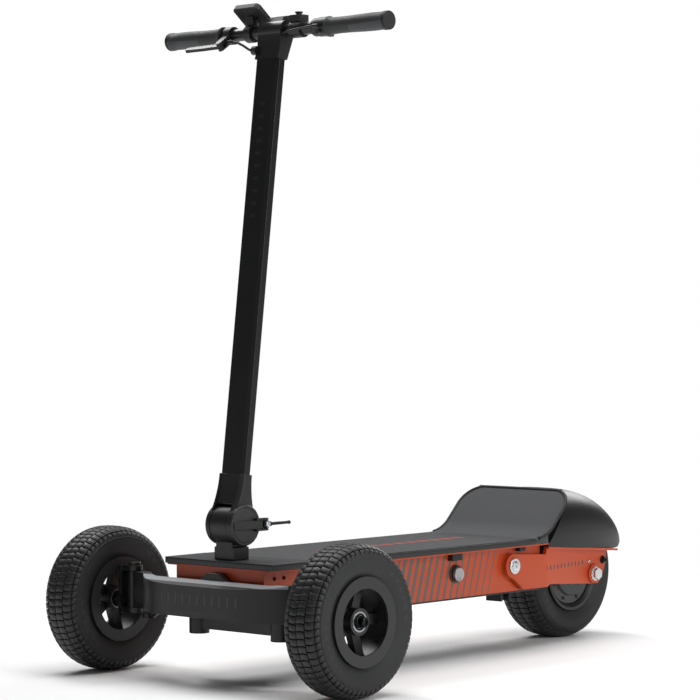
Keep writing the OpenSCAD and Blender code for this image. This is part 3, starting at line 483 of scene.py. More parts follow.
def repeat_tree():
    """Geometry Nodes: Count copies of Item, from Start on by Step, each turned about X by Turn more than the last."""
    tree = bpy.data.node_groups.new("repeat_item", "GeometryNodeTree")
    for label, kind in (("Geometry", "Geometry"), ("Item", "Object"), ("Count", "Int"), ("Start", "Vector"),
                        ("Step", "Vector"), ("Turn", "Float"), ("Phase", "Float"), ("Finish", "Material")):
        tree.interface.new_socket(label, in_out="INPUT", socket_type="NodeSocket" + kind)
    tree.interface.new_socket("Geometry", in_out="OUTPUT", socket_type="NodeSocketGeometry")
    given = add_node(tree, "NodeGroupInput").outputs
    line = add_node(tree, "GeometryNodeMeshLine", {"Count": given["Count"], "Start Location": given["Start"],
                                                   "Offset": given["Step"]})
    number = add_node(tree, "GeometryNodeInputIndex")
    angle = add_node(tree, "ShaderNodeMath", {0: number.outputs[0], 1: given["Turn"], 2: given["Phase"]},
                     {"operation": "MULTIPLY_ADD"})
    about_x = add_node(tree, "ShaderNodeCombineXYZ", {"X": angle.outputs[0]})
    turned = add_node(tree, "FunctionNodeEulerToRotation", {0: about_x.outputs[0]})
    item = add_node(tree, "GeometryNodeObjectInfo", {"Object": given["Item"]}, {"transform_space": "ORIGINAL"})
    copies = add_node(tree, "GeometryNodeInstanceOnPoints", {
        "Points": line.outputs["Mesh"], "Instance": item.outputs["Geometry"], "Rotation": turned.outputs[0]})
    joined = add_node(tree, "GeometryNodeJoinGeometry", {0: given["Geometry"]})
    tree.links.new(copies.outputs["Instances"], joined.inputs[0])
    real = add_node(tree, "GeometryNodeRealizeInstances", {0: joined.outputs[0]})
    coat = add_node(tree, "GeometryNodeSetMaterial", {"Geometry": real.outputs[0], "Material": given["Finish"]})
    add_node(tree, "NodeGroupOutput", {0: coat.outputs["Geometry"]})
    return tree


REPEAT = repeat_tree()


def repeated(base, rows, finish):
    """A base mesh with rows of repeated items; each row is (item mesh, count, start, step, turn, phase)."""
    holder = bpy.data.objects.new("bench", base)
    scene.collection.objects.link(holder)
    benches = []
    for item, count, start, step, turn, phase in rows:
        bench = bpy.data.objects.new("bench_item", item)
        scene.collection.objects.link(bench)
        benches.append(bench)
        live = holder.modifiers.new("repeat", "NODES")
        live.node_group = REPEAT
        given = {"Item": bench, "Count": count, "Start": start, "Step": step, "Turn": turn, "Phase": phase,
                 "Finish": finish}
        for socket in REPEAT.interface.items_tree:
            if socket.in_out == "INPUT" and socket.name in given:
                live[socket.identifier] = given[socket.name]
    made = evaluated(holder)
    for bench in benches + [holder]:
        bpy.data.objects.remove(bench)
    made.shade_smooth()
    return made


def empty():
    """A mesh with nothing in it, to repeat items on."""
    return bpy.data.meshes.new("empty")


def metal(name, code, roughness=0.3, lines=0.0):
    """Plated or turned steel: fine scratches and clouded sheen over bright metal."""
    return coated(name, code, roughness, 0.06, 1800.0, 0.06 + lines, 1.0)[0]


def button_head(radius, height, socket):
    """A button-head screw that stands out along +X, with a hex socket."""
    return lathe([(0, 0.01), (0, radius), (0.35 * height, radius), (0.75 * height, 0.86 * radius),
                  (height, 0.6 * radius), (height, socket), (0.5 * height, socket * 0.92), (0.5 * height, 0.01)], 18)


zinc = metal("zinc_plate", "#d3d6d9", 0.26)
black_screw = coated("black_oxide", "#17181a", 0.34, 0.05, metallic=0.6)[0]
rail_low, rail_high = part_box("side_rail_left")
side_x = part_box("charge_port")[0].x
box_top = rail_high.z
arm_reach, pivot_rise = 276 * MM, 35 * MM
pivot = Vector((0, rear_axle.y - arm_reach, rear_axle.z + pivot_rise))
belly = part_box("bottom_cover")[0]
down = Matrix.Rotation(math.radians(90), 4, "Y")
screw_rows = []
for flip in (False, True):
    side = -1 if flip else 1
    front = moved(button_head(3.5, 2.4, 1.7), flip=flip)
    block = moved(button_head(4.0, 3.0, 2.0), flip=flip)
    under = moved(button_head(4.0, 2.0, 2.0), turn=down)
    start_y = front_axle.y + 15 * MM
    screw_rows += [
        (front, 2, (side * side_x, start_y, box_top - 16 * MM), (0, 23.5 * MM, 0), 0.0, 0.0),
        (block, 1, (side * side_x, pivot.y + 44 * MM, box_top - 8 * MM), (0, 0, 0), 0.0, 0.0),
        (under, 3, (side * (side_x - 12 * MM), rail_low.y + 20 * MM, belly.z),
         (0, (rail_high.y - rail_low.y - 80 * MM) / 2, 0), 0.0, 0.0)]
set_piece("chassis_screw_set", repeated(empty(), screw_rows, black_screw), "chassis_screws", black_screw)
from_cad("bump_blocks", 1.0, rubber_black)
port_low, port_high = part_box("charge_port")
port_y, port_z = (port_low.y + port_high.y) / 2, (port_low.z + port_high.z) / 2
turned_cap = metal("turned_cap", "#a9abae", 0.34, 0.15)
base_ring = moved(soften(lathe([(0, 0.01), (0, 17), (2.4, 17), (3, 15.5), (3, 0.01)]), 0.4), (side_x, port_y, port_z))
set_piece("port_base", base_ring, "charge_port", black_coat, replaces=False)
cap = soften(lathe([(3, 0.01), (3, 11.5), (4, 13), (10.5, 13), (11, 12.4), (11.8, 11.6), (11.8, 9.4), (11.0, 8.8),
                    (11.0, 0.01)]), 0.3)
notches = [(moved(build([(x * MM, y * MM, z * MM) for x in (4.6, 9.9) for y, z in ((-0.45, 12.8), (0.45, 12.8),
                                                                                   (0.3, 13.5), (-0.3, 13.5))],
                        [(0, 1, 2, 3), (4, 7, 6, 5), (0, 4, 5, 1), (1, 5, 6, 2), (2, 6, 7, 3), (3, 7, 4, 0)])),
            28, (0, 0, 0), (0, 0, 0), math.tau / 28, 0.0)]
set_piece("port_cap", moved(repeated(cap, notches, turned_cap), (side_x, port_y, port_z)), "charge_port", turned_cap)

# ---- Lean joint ----
# A welded gable bracket on the front wall carries the lean pin, and the beam rocks on it in a rubber bush.
# The dog-bone bracket under the belly is a steel pressing with two cast posts that limit how far the beam leans.
steel_coat = coated("black_steel_coat", "#0d0e0f", 0.40, 0.06)[0]
from_cad("gable_bracket", 1.2, steel_coat)
from_cad("lean_pin", 0.5, zinc)
from_cad("lean_bush", 0.5, rubber_black)
from_cad("steering_bracket", 4.0, steel_coat, 4)

# ---- Front beam ----
# The beam is an aluminium casting, painted black all over, with a bevel along its upper front edge. A pale grey
# band there is painted highlight where that edge catches the light, and a row of plain dashes is etched into the middle
# of its face.
def beam_coat():
    """Black satin coat with a pale grey painted highlight along the upper front edge, and etched dashes."""
    material, tree, shader, base = coated("beam_coat", "#0b0c0c", 0.42, 0.05)
    highlight_low, highlight_front, half_high, half_long, start, pitch, stroke = (
        v * MM for v in (26.6, 24.5, 8.5, 105, -70, 9, 2))
    x, y, z = place_axes(tree, (0, 0, front_axle.z + 20 * MM))
    # Painted highlight: pale grey above a height and ahead of a plane, along the beam's upper front edge.
    pale = both(tree, calc(tree, "GREATER_THAN", z, highlight_low),
                calc(tree, "LESS_THAN", y, front_axle.y - highlight_front))
    first = overlay(tree, shader, base, pale, "#8d9093")
    beat = calc(tree, "PINGPONG", calc(tree, "SUBTRACT", x, start), pitch)
    dash = both(tree, within(tree, z, -half_high, half_high), within(tree, x, -half_long, half_long),
                calc(tree, "LESS_THAN", beat, stroke))
    overlay(tree, shader, first, dash, "#2b2c2e")
    return material


from_cad("front_beam", 2.0, beam_coat(), 3)
from_cad("kingpins", 1.0, steel_coat)

# ---- Steering ----
# A bent steel tie rod joins the two knuckles, so that leaning the deck turns both wheels. Each knuckle is forged
# and coated black, with its stub axle in one piece, and a nut and washer hold the wheel on.
from_cad("tie_rod", 1.0, steel_coat)
for name in ("knuckle_left", "knuckle_right"):
    from_cad(name, 1.6, steel_coat)
nut_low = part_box("stub_nuts_left")[0]
dark_nut = metal("black_zinc", "#2c2d2f", 0.32)
for name, flip in (("stub_nuts_left", False), ("stub_nuts_right", True)):
    nut = soften(lathe([(0, 8.6), (0, 10.8), (1.6, 10.8), (2, 9.6), (8.5, 9.0), (11.5, 8.4), (12.6, 7.4), (12.6, 5.2),
                        (9.5, 4.8), (9.5, 0.01), (3.0, 0.01), (3.0, 8.6)], 40), 0.3)
    place = Vector((nut_low.x, front_axle.y, front_axle.z))
    set_piece(name + "_finished", moved(nut, place, flip=flip), name, dark_nut)

# ---- Front wheels ----
# Each front wheel is a five-spoke cast alloy rim, painted black, on two sealed bearings. The tyre is an air tyre
# with four rows of brick-shaped blocks, wavy grooves between them and a row of short lugs on each shoulder.
TYRE_BLACK = "#191a1b"
TREAD_BLACK = "#161718"


def from_axle(tree, axle):
    """The distance from a wheel's axle, and the angle round it, as two sockets."""
    x, y, z = place_axes(tree, tuple(axle))
    far = calc(tree, "SQRT", calc(tree, "ADD", calc(tree, "MULTIPLY", y, y), calc(tree, "MULTIPLY", z, z)))
    return far, calc(tree, "ARCTAN2", y, z)


def tyre_rubber(name, axle):
    """Moulded rubber: matt, with turning lines on the sidewall, a ring of plain dashes, and painted shade in the
    grooves.
    """
    groove_shade_from = 113 * MM
    material, tree, shader, base = coated(name, TYRE_BLACK, 0.62, 0.16, 420.0, 0.16)
    far, angle = from_axle(tree, axle)
    dash = calc(tree, "LESS_THAN", calc(tree, "PINGPONG", angle, math.tau / 72), math.tau / 200)
    part = calc(tree, "GREATER_THAN", calc(tree, "PINGPONG", calc(tree, "ADD", angle, 0.4), math.pi / 2), 1.05)
    marks = both(tree, within(tree, far, 95 * MM, 103 * MM), dash, part)
    printed = overlay(tree, shader, base, calc(tree, "MULTIPLY", marks, 0.5), "#2e2f31")
    # Painted shade: the casing goes near-black beyond the groove radius, where it shows between the tread blocks.
    overlay(tree, shader, printed, calc(tree, "GREATER_THAN", far, groove_shade_from), "#070708")
    rings = calc(tree, "SINE", calc(tree, "MULTIPLY", far, math.tau / (1.3 * MM)))
    height = calc(tree, "ADD", calc(tree, "MULTIPLY", rings, 0.12), marks)
    emboss(tree, shader, height, 0.5, 0.0006)
    return material


def section(width, outer, bead):
    """Half of a tyre's outer outline, from the middle of the tread to the bead, as (across, radius) in mm."""
    w, h = width / 78, (outer - bead) / 54
    shape = ((0, 0), (6, 0.1), (12, 0.4), (18, 0.9), (22, 1.8), (26, 3.1), (30, 5.3), (33.5, 8.3), (36.2, 12),
             (38, 16.5), (38.9, 22), (39, 28), (38.3, 35), (36.4, 42.5), (34, 48), (32, 52.5))
    return [(x * w, outer - d * h) for x, d in shape]


def along(curve, s):
    """The point and the outward normal at arc length s along a curve."""
    for (xa, ra), (xb, rb) in zip(curve, curve[1:]):
        step = math.hypot(xb - xa, rb - ra)
        if s <= step:
            t = s / step
            return xa + t * (xb - xa), ra + t * (rb - ra), (ra - rb) / step, (xb - xa) / step
        s -= step
    return xb, rb, (ra - rb) / step, (xb - xa) / step


def tread_block(curve, s0, s1, length, bow, depth, side, shift=0.0):
    """One block on the curve from s0 to s1: bowed ends, broken top edges. Its Z is the distance from the axle."""
    stations = [(s0, 0), ((s0 + s1) / 2, bow), (s1, 0)]
    outline = [(s, -length / 2 + b) for s, b in stations] + [(s, length / 2 + b) for s, b in reversed(stations)]
    mid_s = (s0 + s1) / 2
    points = []
    for sink, inset in ((depth, 0), (0.4, 0), (0, 0.45)):
        for s, u in outline:
            s_in = s - math.copysign(inset, s - mid_s) if abs(s - mid_s) > 0.01 else s
            u_in = u - math.copysign(inset, u)
            x, r, nx, nr = along(curve, s_in)
            points.append((side * (x - nx * sink) * MM, (u_in + shift) * MM, (r - nr * sink) * MM))
    n = len(outline)
    faces = [(k * n + i, k * n + (i + 1) % n, (k + 1) * n + (i + 1) % n, (k + 1) * n + i)
             for k in range(2) for i in range(n)] + [(2 * n, 2 * n + 1, 2 * n + 4, 2 * n + 5),
                                                     (2 * n + 1, 2 * n + 2, 2 * n + 3, 2 * n + 4),
                                                     (0, 5, 4, 1), (1, 4, 3, 2)]
    return build(points, faces)


def air_tyre(name, node, width, seat):
    """The casing turned about the axle, with the tread and the lugs set round it row by row."""
    low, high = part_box(node)
    axle = (low + high) / 2
    outer, bead, floor = (high.z - low.z) / 2 / MM, 76.0, 3.6
    curve = section(width, outer, bead)
    skin = []
    total = 0
    for i, (x, r) in enumerate(curve):
        total += math.hypot(x - curve[i - 1][0], r - curve[i - 1][1]) if i else 0
        nx, nr = along(curve, total)[2:]
        sink = floor * max(0.0, min(1.0, (46 - total) / 12))
        skin.append((x - nx * sink, r - nr * sink))
    rib_x, rib_r = skin[10]
    half = skin[:10] + [(rib_x + dx, rib_r + dr) for dx, dr in ((-0.7, 4.0), (0.35, 3.6), (0.35, 2.6), (-0.1, 2.2))]
    half += skin[10:] + [(seat, bead + 1), (seat, bead), (seat - 9, bead), (seat - 9, bead + 8)]
    half += [(x - 7 if x > 12 else x * 0.8, r - 8) for x, r in reversed(skin[:12])]
    outline = half + [(-x, r) for x, r in reversed(half[1:-1])]
    casing = lathe(outline, 128)
    rows, count, scale = [], 64, width / 78
    pitch = math.tau * outer / count
    for side in (-1, 1):
        for s0, s1, gap, bow, depth, shift in ((0.8, 16.9 * scale, 1.9, 1.3, floor + 0.8, 0.0),
                                               (18.7 * scale, 34.3 * scale, 1.9, -1.5, floor + 0.8, 0.35),
                                               (36.3 * scale, 46.0 * scale, 3.6, 0.8, 3.0, 0.35)):
            block = tread_block(curve, s0, s1, pitch - gap, bow * side, depth, side, pitch * shift)
            rows.append((block, count, axle, (0, 0, 0), math.tau / count, 0.0))
    set_piece(name + "_tread", repeated(empty(), rows, tread_rubber), node, tread_rubber, replaces=False)
    casing.shade_smooth()
    set_piece(name, moved(casing, axle), node, tyre_rubber(name + "_rubber", axle))


tread_rubber = coated("tread_rubber", TREAD_BLACK, 0.50, 0.16, 420.0, 0.16)[0]
rim_paint = coated("rim_paint", "#1d1e1f", 0.44, 0.06, 500.0, 0.12)[0]


def sealed_bearing():
    """Bearing steel with a dark rubber seal between the two races."""
    material, tree, shader, base = coated("sealed_bearing", "#a4a6a8", 0.28, 0.06, 1800.0, 0.08, 0.9)
    inner_race, outer_race = 11.2 * MM, 14.6 * MM
    seal = within(tree, from_axle(tree, front_axle)[0], inner_race, outer_race)
    overlay(tree, shader, base, seal, "#151617")
    return material


bearing_steel = sealed_bearing()
for side in ("left", "right"):
    from_cad("front_rim_" + side, 1.2, rim_paint)
    from_cad("hub_bearings_" + side, 0.5, bearing_steel)
    air_tyre("air_tyre_" + side, "front_tyre_" + side, 78, 31.7)

# ---- Swing arm ----
# Two laser-cut aluminium plates, 8 mm thick, close in from the pivot to the axle, with a folded flange on top and
# a cross plate between them. They turn on a steel shaft and press two rubber buffers against the chassis, and two
# screws in each plate hold the axle's stop.
def marked_arm():
    """The orange coat with a row of plain dark dashes along the plate, where a maker would put a name."""
    material, tree, shader, base = coated("arm_coat_marked", ORANGE, 0.40)
    half_high, field, pitch, stroke = (v * MM for v in (4.2, 150, 7, 2.2))
    x, y, z = place_axes(tree, (0, rear_axle.y - 175 * MM, rear_axle.z + 24 * MM))
    dash = both(tree, within(tree, z, -half_high, half_high), within(tree, y, 0.0, field),
                calc(tree, "LESS_THAN", calc(tree, "PINGPONG", y, pitch), stroke))
    overlay(tree, shader, base, dash, "#3a2c28")
    return material


from_cad("swing_arm", 0.8, marked_arm())
shaft_low, shaft_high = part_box("pivot_shaft")
rod = moved(lathe([(shaft_low.x / MM + 2, 0.01), (shaft_low.x / MM + 2, 7), (shaft_high.x / MM - 2, 7),
                   (shaft_high.x / MM - 2, 0.01)]), (0, pivot.y, pivot.z))
heads = []
for flip in (False, True):
    washer = lathe([(-2, 6.8), (-2, 15), (-0.5, 15), (0, 14.4), (0, 9.4), (0.8, 9.2), (2.2, 8.4), (2.6, 7.2),
                    (2.6, 3.4), (0.2, 3.1), (0.2, 0.01), (-2, 0.01)])
    heads.append(moved(washer, (shaft_high.x, pivot.y, pivot.z), flip=flip))
set_piece("pivot_bolts", soften(merged(rod, *heads), 0.25), "pivot_shaft", zinc)
from_cad("suspension_rubber", 1.0, rubber_black)
from_cad("rear_axle", 0.5, zinc)
nut_reach, screw_rise = 14.2 * MM, 25 * MM
plate_x, screw_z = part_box("rear_axle")[1].x - nut_reach, rear_axle.z + screw_rise
for flip in (False, True):
    side = "right" if flip else "left"
    washer = lathe([(0, 0.01), (0, 8), (1.5, 8), (2.2, 7), (2.2, 0.01)], 32)
    stop = merged(washer, moved(button_head(5.5, 6, 2.5), (2 * MM, 0, 0)))
    stop = moved(stop, (plate_x, rear_axle.y + 30 * MM, screw_z), flip=flip)
    set_piece("stop_screw_" + side, soften(stop, 0.2), "swing_arm", black_screw, replaces=False)
    pin = moved(button_head(3.4, 2.4, 1.6), (plate_x, rear_axle.y - 14 * MM, screw_z), flip=flip)
    set_piece("arm_screw_" + side, soften(pin, 0.2), "swing_arm", zinc, replaces=False)

# ---- Rear wheel ----
# The rear wheel is a hub motor: a stator of copper coils on the fixed axle, and a black cast shell with the rim
# lips turned on it. Two grey cover discs are bolted on with eight small screws each.
from_cad("motor_stator", 0.5, ribbed("copper_coils", "#b0673a", 4.0, 0.35, 0.8))
from_cad("motor_shell", 1.0, rim_paint)
cover_grey = coated("cover_grey", "#333436", 0.40, 0.05, 700.0)[0]
cover_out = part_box("motor_covers")[1].x
for flip in (False, True):
    disc = soften(lathe([(-14, 8.2), (-14, 63.5), (-8, 63.5), (-7, 62), (-7, 47.5), (-2.6, 45.2), (-2, 44.6),
                         (-2, 26), (-1, 24.5), (-1, 8.2)], 72), 0.5)
    bolt = moved(button_head(3.4, 3.4, 1.6), (-7.0 * MM, 0, 55 * MM))
    cover = repeated(disc, [(bolt, 8, (0, 0, 0), (0, 0, 0), math.tau / 8, math.tau / 16)], cover_grey)
    place = Vector((cover_out + 2 * MM, rear_axle.y, rear_axle.z))
    set_piece("motor_cover_" + ("right" if flip else "left"), moved(cover, place, flip=flip), "motor_covers",
              cover_grey)
air_tyre("air_tyre_rear", "rear_tyre", 98, 39.7)

# ---- Fender ----
# One hood, moulded in satin black plastic 3 mm thick, reaches from the kick panel over the rear wheel. It stands on
# the arm's flanges, its lower edge lifts clear of them at the tail, and a flat tail piece closes its end.
gloss_black = coated("gloss_moulding", "#0e0f10", 0.40, 0.04, 90.0, 0.05)[0]
hood_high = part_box("fender")[1]
TAIL_LIFT = 11.0


def hood_mesh(t, sections=40, ribs=56):
    """The hood's skin t mm in from its outside, as rows of points: an arch that narrows and drops to the tail."""
    y0, y1 = 285.0, 591.0
    w0, w1, top, end = 121.0, 60.0, hood_high.z / MM, 599.0
    step_y, tail_y, z_front, z_rear = 286.0, 526.0, 194.7, 175.5
    lift_y, lift_run, power = 556.0, 24.0, 0.62
    rows = []
    for i in range(sections + 1):
        s = i / sections
        y = y0 + (y1 - y0) * s
        sill = z_front + (z_rear - z_front) * (min(max(y, step_y), tail_y) - step_y) / (tail_y - step_y)
        cut = sill + TAIL_LIFT * min(1.0, max(0.0, (y - lift_y) / lift_run))
        lean = 0.89 * (1 - s) ** 2.2
        reach = y + lean * (top - 20 - sill)
        u = min(0.98, max(0.0, (reach - y0 - 75) / (end - y0 - 75)))
        roof = sill + (top - sill) * (1 - u ** 2.4) ** 0.588
        half = w1 + (w0 - w1) * max(0.0, 1 - s ** 2.2) ** power
        row = []
        for j in range(ribs + 1):
            a = math.pi * j / ribs
            z = max(cut, sill + (roof - t - sill) * math.sin(a) ** power if 0 < j < ribs else sill)
            across = math.copysign(abs(math.cos(a)) ** power, math.cos(a))
            row.append(((half - t) * across * MM, (y + lean * (z - sill)) * MM, z * MM))
        rows.append(row)
    return rows


def skin_mesh(outer, inner):
    """Closes two matching skins into one solid sheet."""
    n, m = len(outer), len(outer[0])
    points = [p for row in outer for p in row] + [p for row in inner for p in row]
    off = n * m
    faces = []
    for i in range(n - 1):
        for j in range(m - 1):
            a = i * m + j
            faces += [(a, a + m, a + m + 1, a + 1), (off + a, off + a + 1, off + a + m + 1, off + a + m)]
        for j in (0, m - 1):
            faces.append((i * m + j, off + i * m + j, off + (i + 1) * m + j, (i + 1) * m + j))
    for i in (0, n - 1):
        faces += [(i * m + j, i * m + j + 1, off + i * m + j + 1, off + i * m + j) for j in range(m - 1)]
    return build(points, faces)


set_piece("fender_hood", soften(skin_mesh(hood_mesh(0), hood_mesh(3)), 0.7, 2, 50), "fender", gloss_black)
tip = clean_copy("fender_tip")
tip_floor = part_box("fender_tip")[0].z + TAIL_LIFT * MM
for point in tip.vertices:
    point.co.z = max(point.co.z, tip_floor)
set_piece("fender_tail", soften(tip, 0.4), "fender_tip", gloss_black)

# ---- Post and folding hinge ----
# A steel post stands on the foot plate. Its round head is the inner half of the folding hinge, with the stem's two
# cheeks outside it. On the left a grey disc covers the hinge, and a latch block across it carries the swinging lever.
from_cad("handle_post", 1.5, steel_coat)
from_cad("hinge_axle", 0.5, zinc)
cap_coat = coated("hinge_cap_coat", "#242527", 0.42, 0.05)[0]
axle_low, axle_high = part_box("hinge_axle")
hinge = Vector((0, (axle_low.y + axle_high.y) / 2, (axle_low.z + axle_high.z) / 2))
cap_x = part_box("hinge_cap")[0].x
latch_low, latch_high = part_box("fold_lever")
latch_behind = 45 * MM
latch = Vector(((latch_low.x + latch_high.x) / 2, hinge.y + latch_behind, hinge.z))


def plate(corners, z0, z1):
    """A flat plate from an outline of (x, y) in metres between two heights."""
    n = len(corners)
    points = [(x, y, z) for z in (z0, z1) for x, y in corners]
    return build(points, [tuple(range(n)), tuple(range(n, 2 * n))]
                 + [(k, (k + 1) % n, n + (k + 1) % n, n + k) for k in range(n)])


disc = moved(lathe([(0, 6.4), (0, 35.6), (3.4, 35.6), (4.6, 34.4), (4.6, 31.0), (4.0, 30.6), (4.0, 29.8), (4.6, 29.4),
                    (4.6, 6.4)], 72), (cap_x, hinge.y, hinge.z))
set_piece("hinge_cover", soften(disc, 0.3), "hinge_cap", cap_coat)
bar_line = [(4.2, -31), (7.0, -29), (8.4, -16), (10.6, 4), (12.6, 20), (13.0, 33), (11.0, 36.3), (4.2, 36.3)]
bar_half, lug_thick = 7.4 * MM, 4.0 * MM
bar = plate([(cap_x + x * MM, hinge.y + y * MM) for x, y in bar_line], hinge.z - bar_half, hinge.z + bar_half)
lug = [(2.0, 20), (12.6, 20), (13.4, 45), (11.5, 49.5), (8, 50.5), (4.5, 49.5), (3.0, 45)]
lugs = [plate([(cap_x + x * MM, hinge.y + y * MM) for x, y in lug], hinge.z + z, hinge.z + z + lug_thick)
        for z in (-11.0 * MM, 7.0 * MM)]
set_piece("hinge_latch_block", soften(merged(bar, *lugs), 0.9, 3), "hinge_cap", steel_coat, replaces=False)
upright = Matrix.Rotation(math.radians(90), 4, "Y")
rearward = Matrix.Rotation(math.radians(90), 4, "Z")
barrel = lathe([(-6.4, 2.6), (-6.4, 5.8), (-5.6, 6.6), (5.6, 6.6), (6.4, 5.8), (6.4, 2.6)], 32)
barrel = moved(barrel, latch, upright)
rod = lathe([(4, 0.01), (4, 5.0), (13, 4.4), (15, 2.9), (55, 2.5), (58, 3.2), (61, 3.2), (61.8, 2.4), (61.8, 0.01)], 24)
rod = moved(rod, latch, rearward)
set_piece("latch_lever", soften(merged(barrel, rod), 0.3), "fold_lever", steel_coat)
eye = moved(lathe([(5.8, 0.01), (5.8, 5.2), (7.6, 5.2), (8.0, 4.6), (8.0, 2.6), (6.6, 2.3), (6.6, 0.01)], 24), latch)
set_piece("latch_screw", soften(eye, 0.2), "fold_lever", zinc, replaces=False)

# ---- Stem ----
# The stem is an aluminium extrusion with broad chamfers, anodised black, pressed into a casting that flares out to
# the hinge. A forged head clamps the handlebar, and a column of plain dashes is etched high on the tube's face.
def stem_coat():
    """Black satin anodising with a column of plain etched dashes on the front face below the head."""
    material, tree, shader, base = coated("stem_anodised", "#121314", 0.33, 0.05, 900.0, 0.05, 0.3)
    half, pitch, stroke, first, last = (v * MM for v in (6.5, 11, 3, 800, 1020))
    x, y, z = place_axes(tree)
    dash = both(tree, within(tree, x, -half, half), within(tree, z, first, last),
                calc(tree, "LESS_THAN", calc(tree, "PINGPONG", z, pitch), stroke))
    overlay(tree, shader, base, dash, "#232426")
    return material


stem_black = coated("stem_casting_coat", "#101112", 0.42, 0.05)[0]
STEM_LEAN = 7.2
leaning = Matrix.Rotation(math.radians(-STEM_LEAN), 4, "X")


def loft(rows):
    """A solid through matching cross-sections: rows of (outline of (x, y), z) in mm, each section flat."""
    n = len(rows[0][0])
    points = [(x * MM, y * MM, z * MM) for outline, z in rows for x, y in outline]
    faces = [(i * n + k, i * n + (k + 1) % n, (i + 1) * n + (k + 1) % n, (i + 1) * n + k)
             for i in range(len(rows) - 1) for k in range(n)]
    return build(points, faces + [tuple(range(n)), tuple(range((len(rows) - 1) * n, len(rows) * n))])


def flare(z):
    """Half the casting's depth: the tube's at the top, sweeping out to the hinge discs at the foot."""
    tube_half, spread, top, foot = 15.5, 18.8, 88, 8
    return tube_half + spread * ((top - z) / (top - foot)) ** 2.0


heights = (9, 15, 21, 27, 33, 39, 46, 54, 63, 72, 80, 88)
parts = []
for flip in (False, True):
    wing = [([(20.6, -flare(z)), (24.5, -flare(z)), (30.5, 6.5 - flare(z)), (30.5, flare(z) - 6.5), (24.5, flare(z)),
              (20.6, flare(z))], z) for z in heights]
    parts.append(moved(loft(wing), flip=flip))
    parts.append(moved(lathe([(20.6, 6.2), (20.6, 35.4), (29, 35.4), (30, 34.4), (30, 6.2)], 72), flip=flip))
core = [([(-20.6, -d), (20.6, -d), (20.6, d), (-20.6, d)], z) for z, d in
        ((38, 20.5), (46, 19.0), (54, 17.6), (63, 16.4), (72, 15.4), (88, 14.6))]
parts.append(loft(core))
set_piece("casting_body", moved(soften(merged(*parts), 0.8, 2, 38), hinge, leaning), "stem_casting", stem_black)
from_cad("stem_tube", 0.6, stem_coat())
from_cad("stem_head", 1.5, stem_black)

# ---- Handlebar and grips ----
# A straight aluminium tube runs through the head. The grips are moulded rubber with a smooth palm lobe and a fine
# ribbed core, and each end is closed by a plug.
bar_coat = coated("bar_coat", "#151617", 0.35, 0.05)[0]
from_cad("handlebar", 0.4, bar_coat)
bar_mid = (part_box("handlebar")[0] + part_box("handlebar")[1]) / 2
grip_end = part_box("grips")[1].x


def grip_rubber():
    """Soft grey rubber, ribbed finely along the bar, with a paler smooth lobe under the palm."""
    lobe_long, lobe_drop, lobe_slope = 78 * MM, 4 * MM, 0.05
    material, tree, shader, base = coated("grip_rubber", "#2b2c2e", 0.60, 0.10, 600.0, 0.15)
    x, y, z = place_axes(tree, tuple(bar_mid))
    ribs = calc(tree, "SINE", calc(tree, "MULTIPLY", x, math.tau / (2.4 * MM)))
    upper = calc(tree, "GREATER_THAN", z, -2 * MM)
    out = calc(tree, "SUBTRACT", calc(tree, "ABSOLUTE", x), grip_end - lobe_long)
    under = calc(tree, "LESS_THAN", calc(tree, "ADD", z, lobe_drop), calc(tree, "MULTIPLY", out, lobe_slope))
    overlay(tree, shader, base, both(tree, under, calc(tree, "GREATER_THAN", out, 0.0)), "#3f4144")
    emboss(tree, shader, calc(tree, "MULTIPLY", ribs, upper), 0.35, 0.0005)
    return material


soft_grip = grip_rubber()
profile = [(0, 11.0), (0, 16.2), (1.2, 16.5), (4, 16.5), (6, 15.4), (30, 15.9), (52, 15.6), (84, 14.6), (108, 14.4),
           (124, 15.0), (129, 16.2), (131, 17.5), (133.2, 17.5), (134, 16.8), (134, 11.0)]
for flip in (False, True):
    shape = soften(lathe([(-x, r) for x, r in profile], 40), 0.3)
    place = Vector((grip_end, bar_mid.y, bar_mid.z))
    set_piece("palm_grip_" + ("right" if flip else "left"), moved(shape, place, flip=flip), "grips", soft_grip)
from_cad("grip_caps", 1.2, rubber_black)

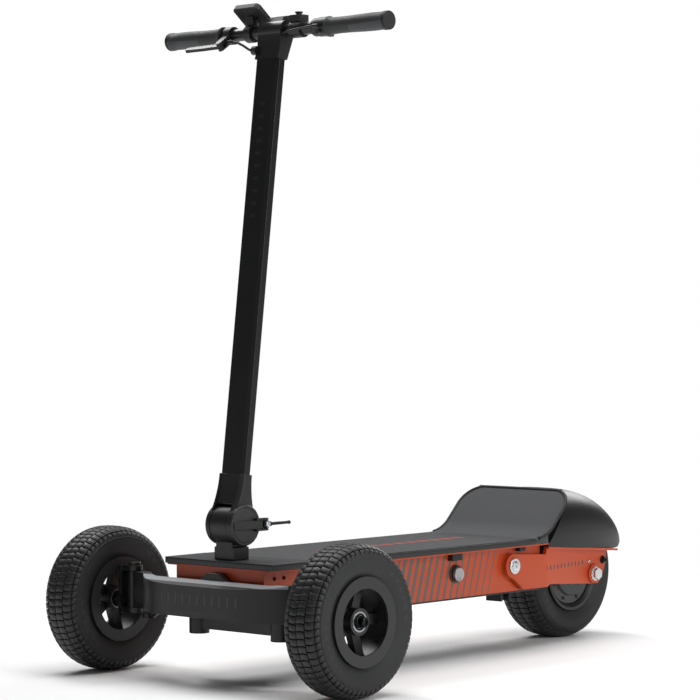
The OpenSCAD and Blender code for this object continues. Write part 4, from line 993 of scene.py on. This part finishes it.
# ---- Controls ----
# A small display sits on a bracket by the head, with the thumb throttle and the horn switch to the left of the
# stem and the brake lever to the right. All are moulded plastic on clamp rings, except the forged brake blade.
moulded = coated("moulded_plastic", "#121314", 0.46, 0.06, 900.0, 0.16)[0]


def screen_glass():
    """Dark glass with a generic column of level bars behind it, switched off."""
    material, tree, shader, base = coated("screen_glass", "#0b0f12", 0.08, 0.03, 60.0, 0.0)
    low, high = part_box("display_screen")
    x, y, z = place_axes(tree, tuple((low + high) / 2))
    pitch, stroke, half = 2.5 * MM, 0.9 * MM, 14 * MM
    bar = both(tree, calc(tree, "LESS_THAN", calc(tree, "PINGPONG", y, pitch), stroke), within(tree, x, -half, half))
    overlay(tree, shader, base, bar, "#27414a")
    return material


from_cad("display", 1.0, moulded)
from_cad("display_screen", 0.3, screen_glass())
from_cad("throttle_clamp", 0.8, moulded)
from_cad("throttle_paddle", 1.0, moulded)
from_cad("brake_perch", 0.8, moulded)
from_cad("brake_lever", 1.0, coated("lever_anodised", "#101112", 0.40, 0.05, 900.0, 0.05, 0.3)[0])
from_cad("switch_pod", 1.0, moulded)
from_cad("horn_button", 0.8, rubber_black)

# ---- Cables ----
# Three rubber-sheathed cables run from the controls into the stem head: the brake cable, the throttle lead and the
# thin display lead. The head and the clamps hold each of them over its whole length.
def route(shares, start, end):
    """A cable's points: share of the way along X from start to end, then y and z from the bar's middle, in mm."""
    return [Vector(((start + (end - start) * s) * MM, bar_mid.y + y * MM, bar_mid.z + z * MM)) for s, y, z in shares]


jacket = coated("cable_jacket", "#101112", 0.50, 0.06, 400.0, 0.1)[0]
cables = merged(
    tube(route([(0, -19, -13), (0.2, -23, -15), (0.42, -25, -19), (0.62, -25, -24), (0.8, -24, -30), (0.92, -23, -33),
                (1, -22, -34)], -89, -34), 2.2 * MM),
    tube(route([(0, 0, 24), (0.25, 0, 24), (0.5, -1, 21), (0.75, -3, 16), (1, -4, 14)], -53, -28), 1.6 * MM),
    tube(route([(0, -21, 0), (0.15, -21, 0), (0.3, -20, -1), (0.5, -20, -2), (0.7, -19, -4), (0.85, -17, -5),
                (1, -14, -6)], 108, 28), 2.0 * MM))
set_piece("cable_set", soften(cables, 0), "control_cables", jacket)
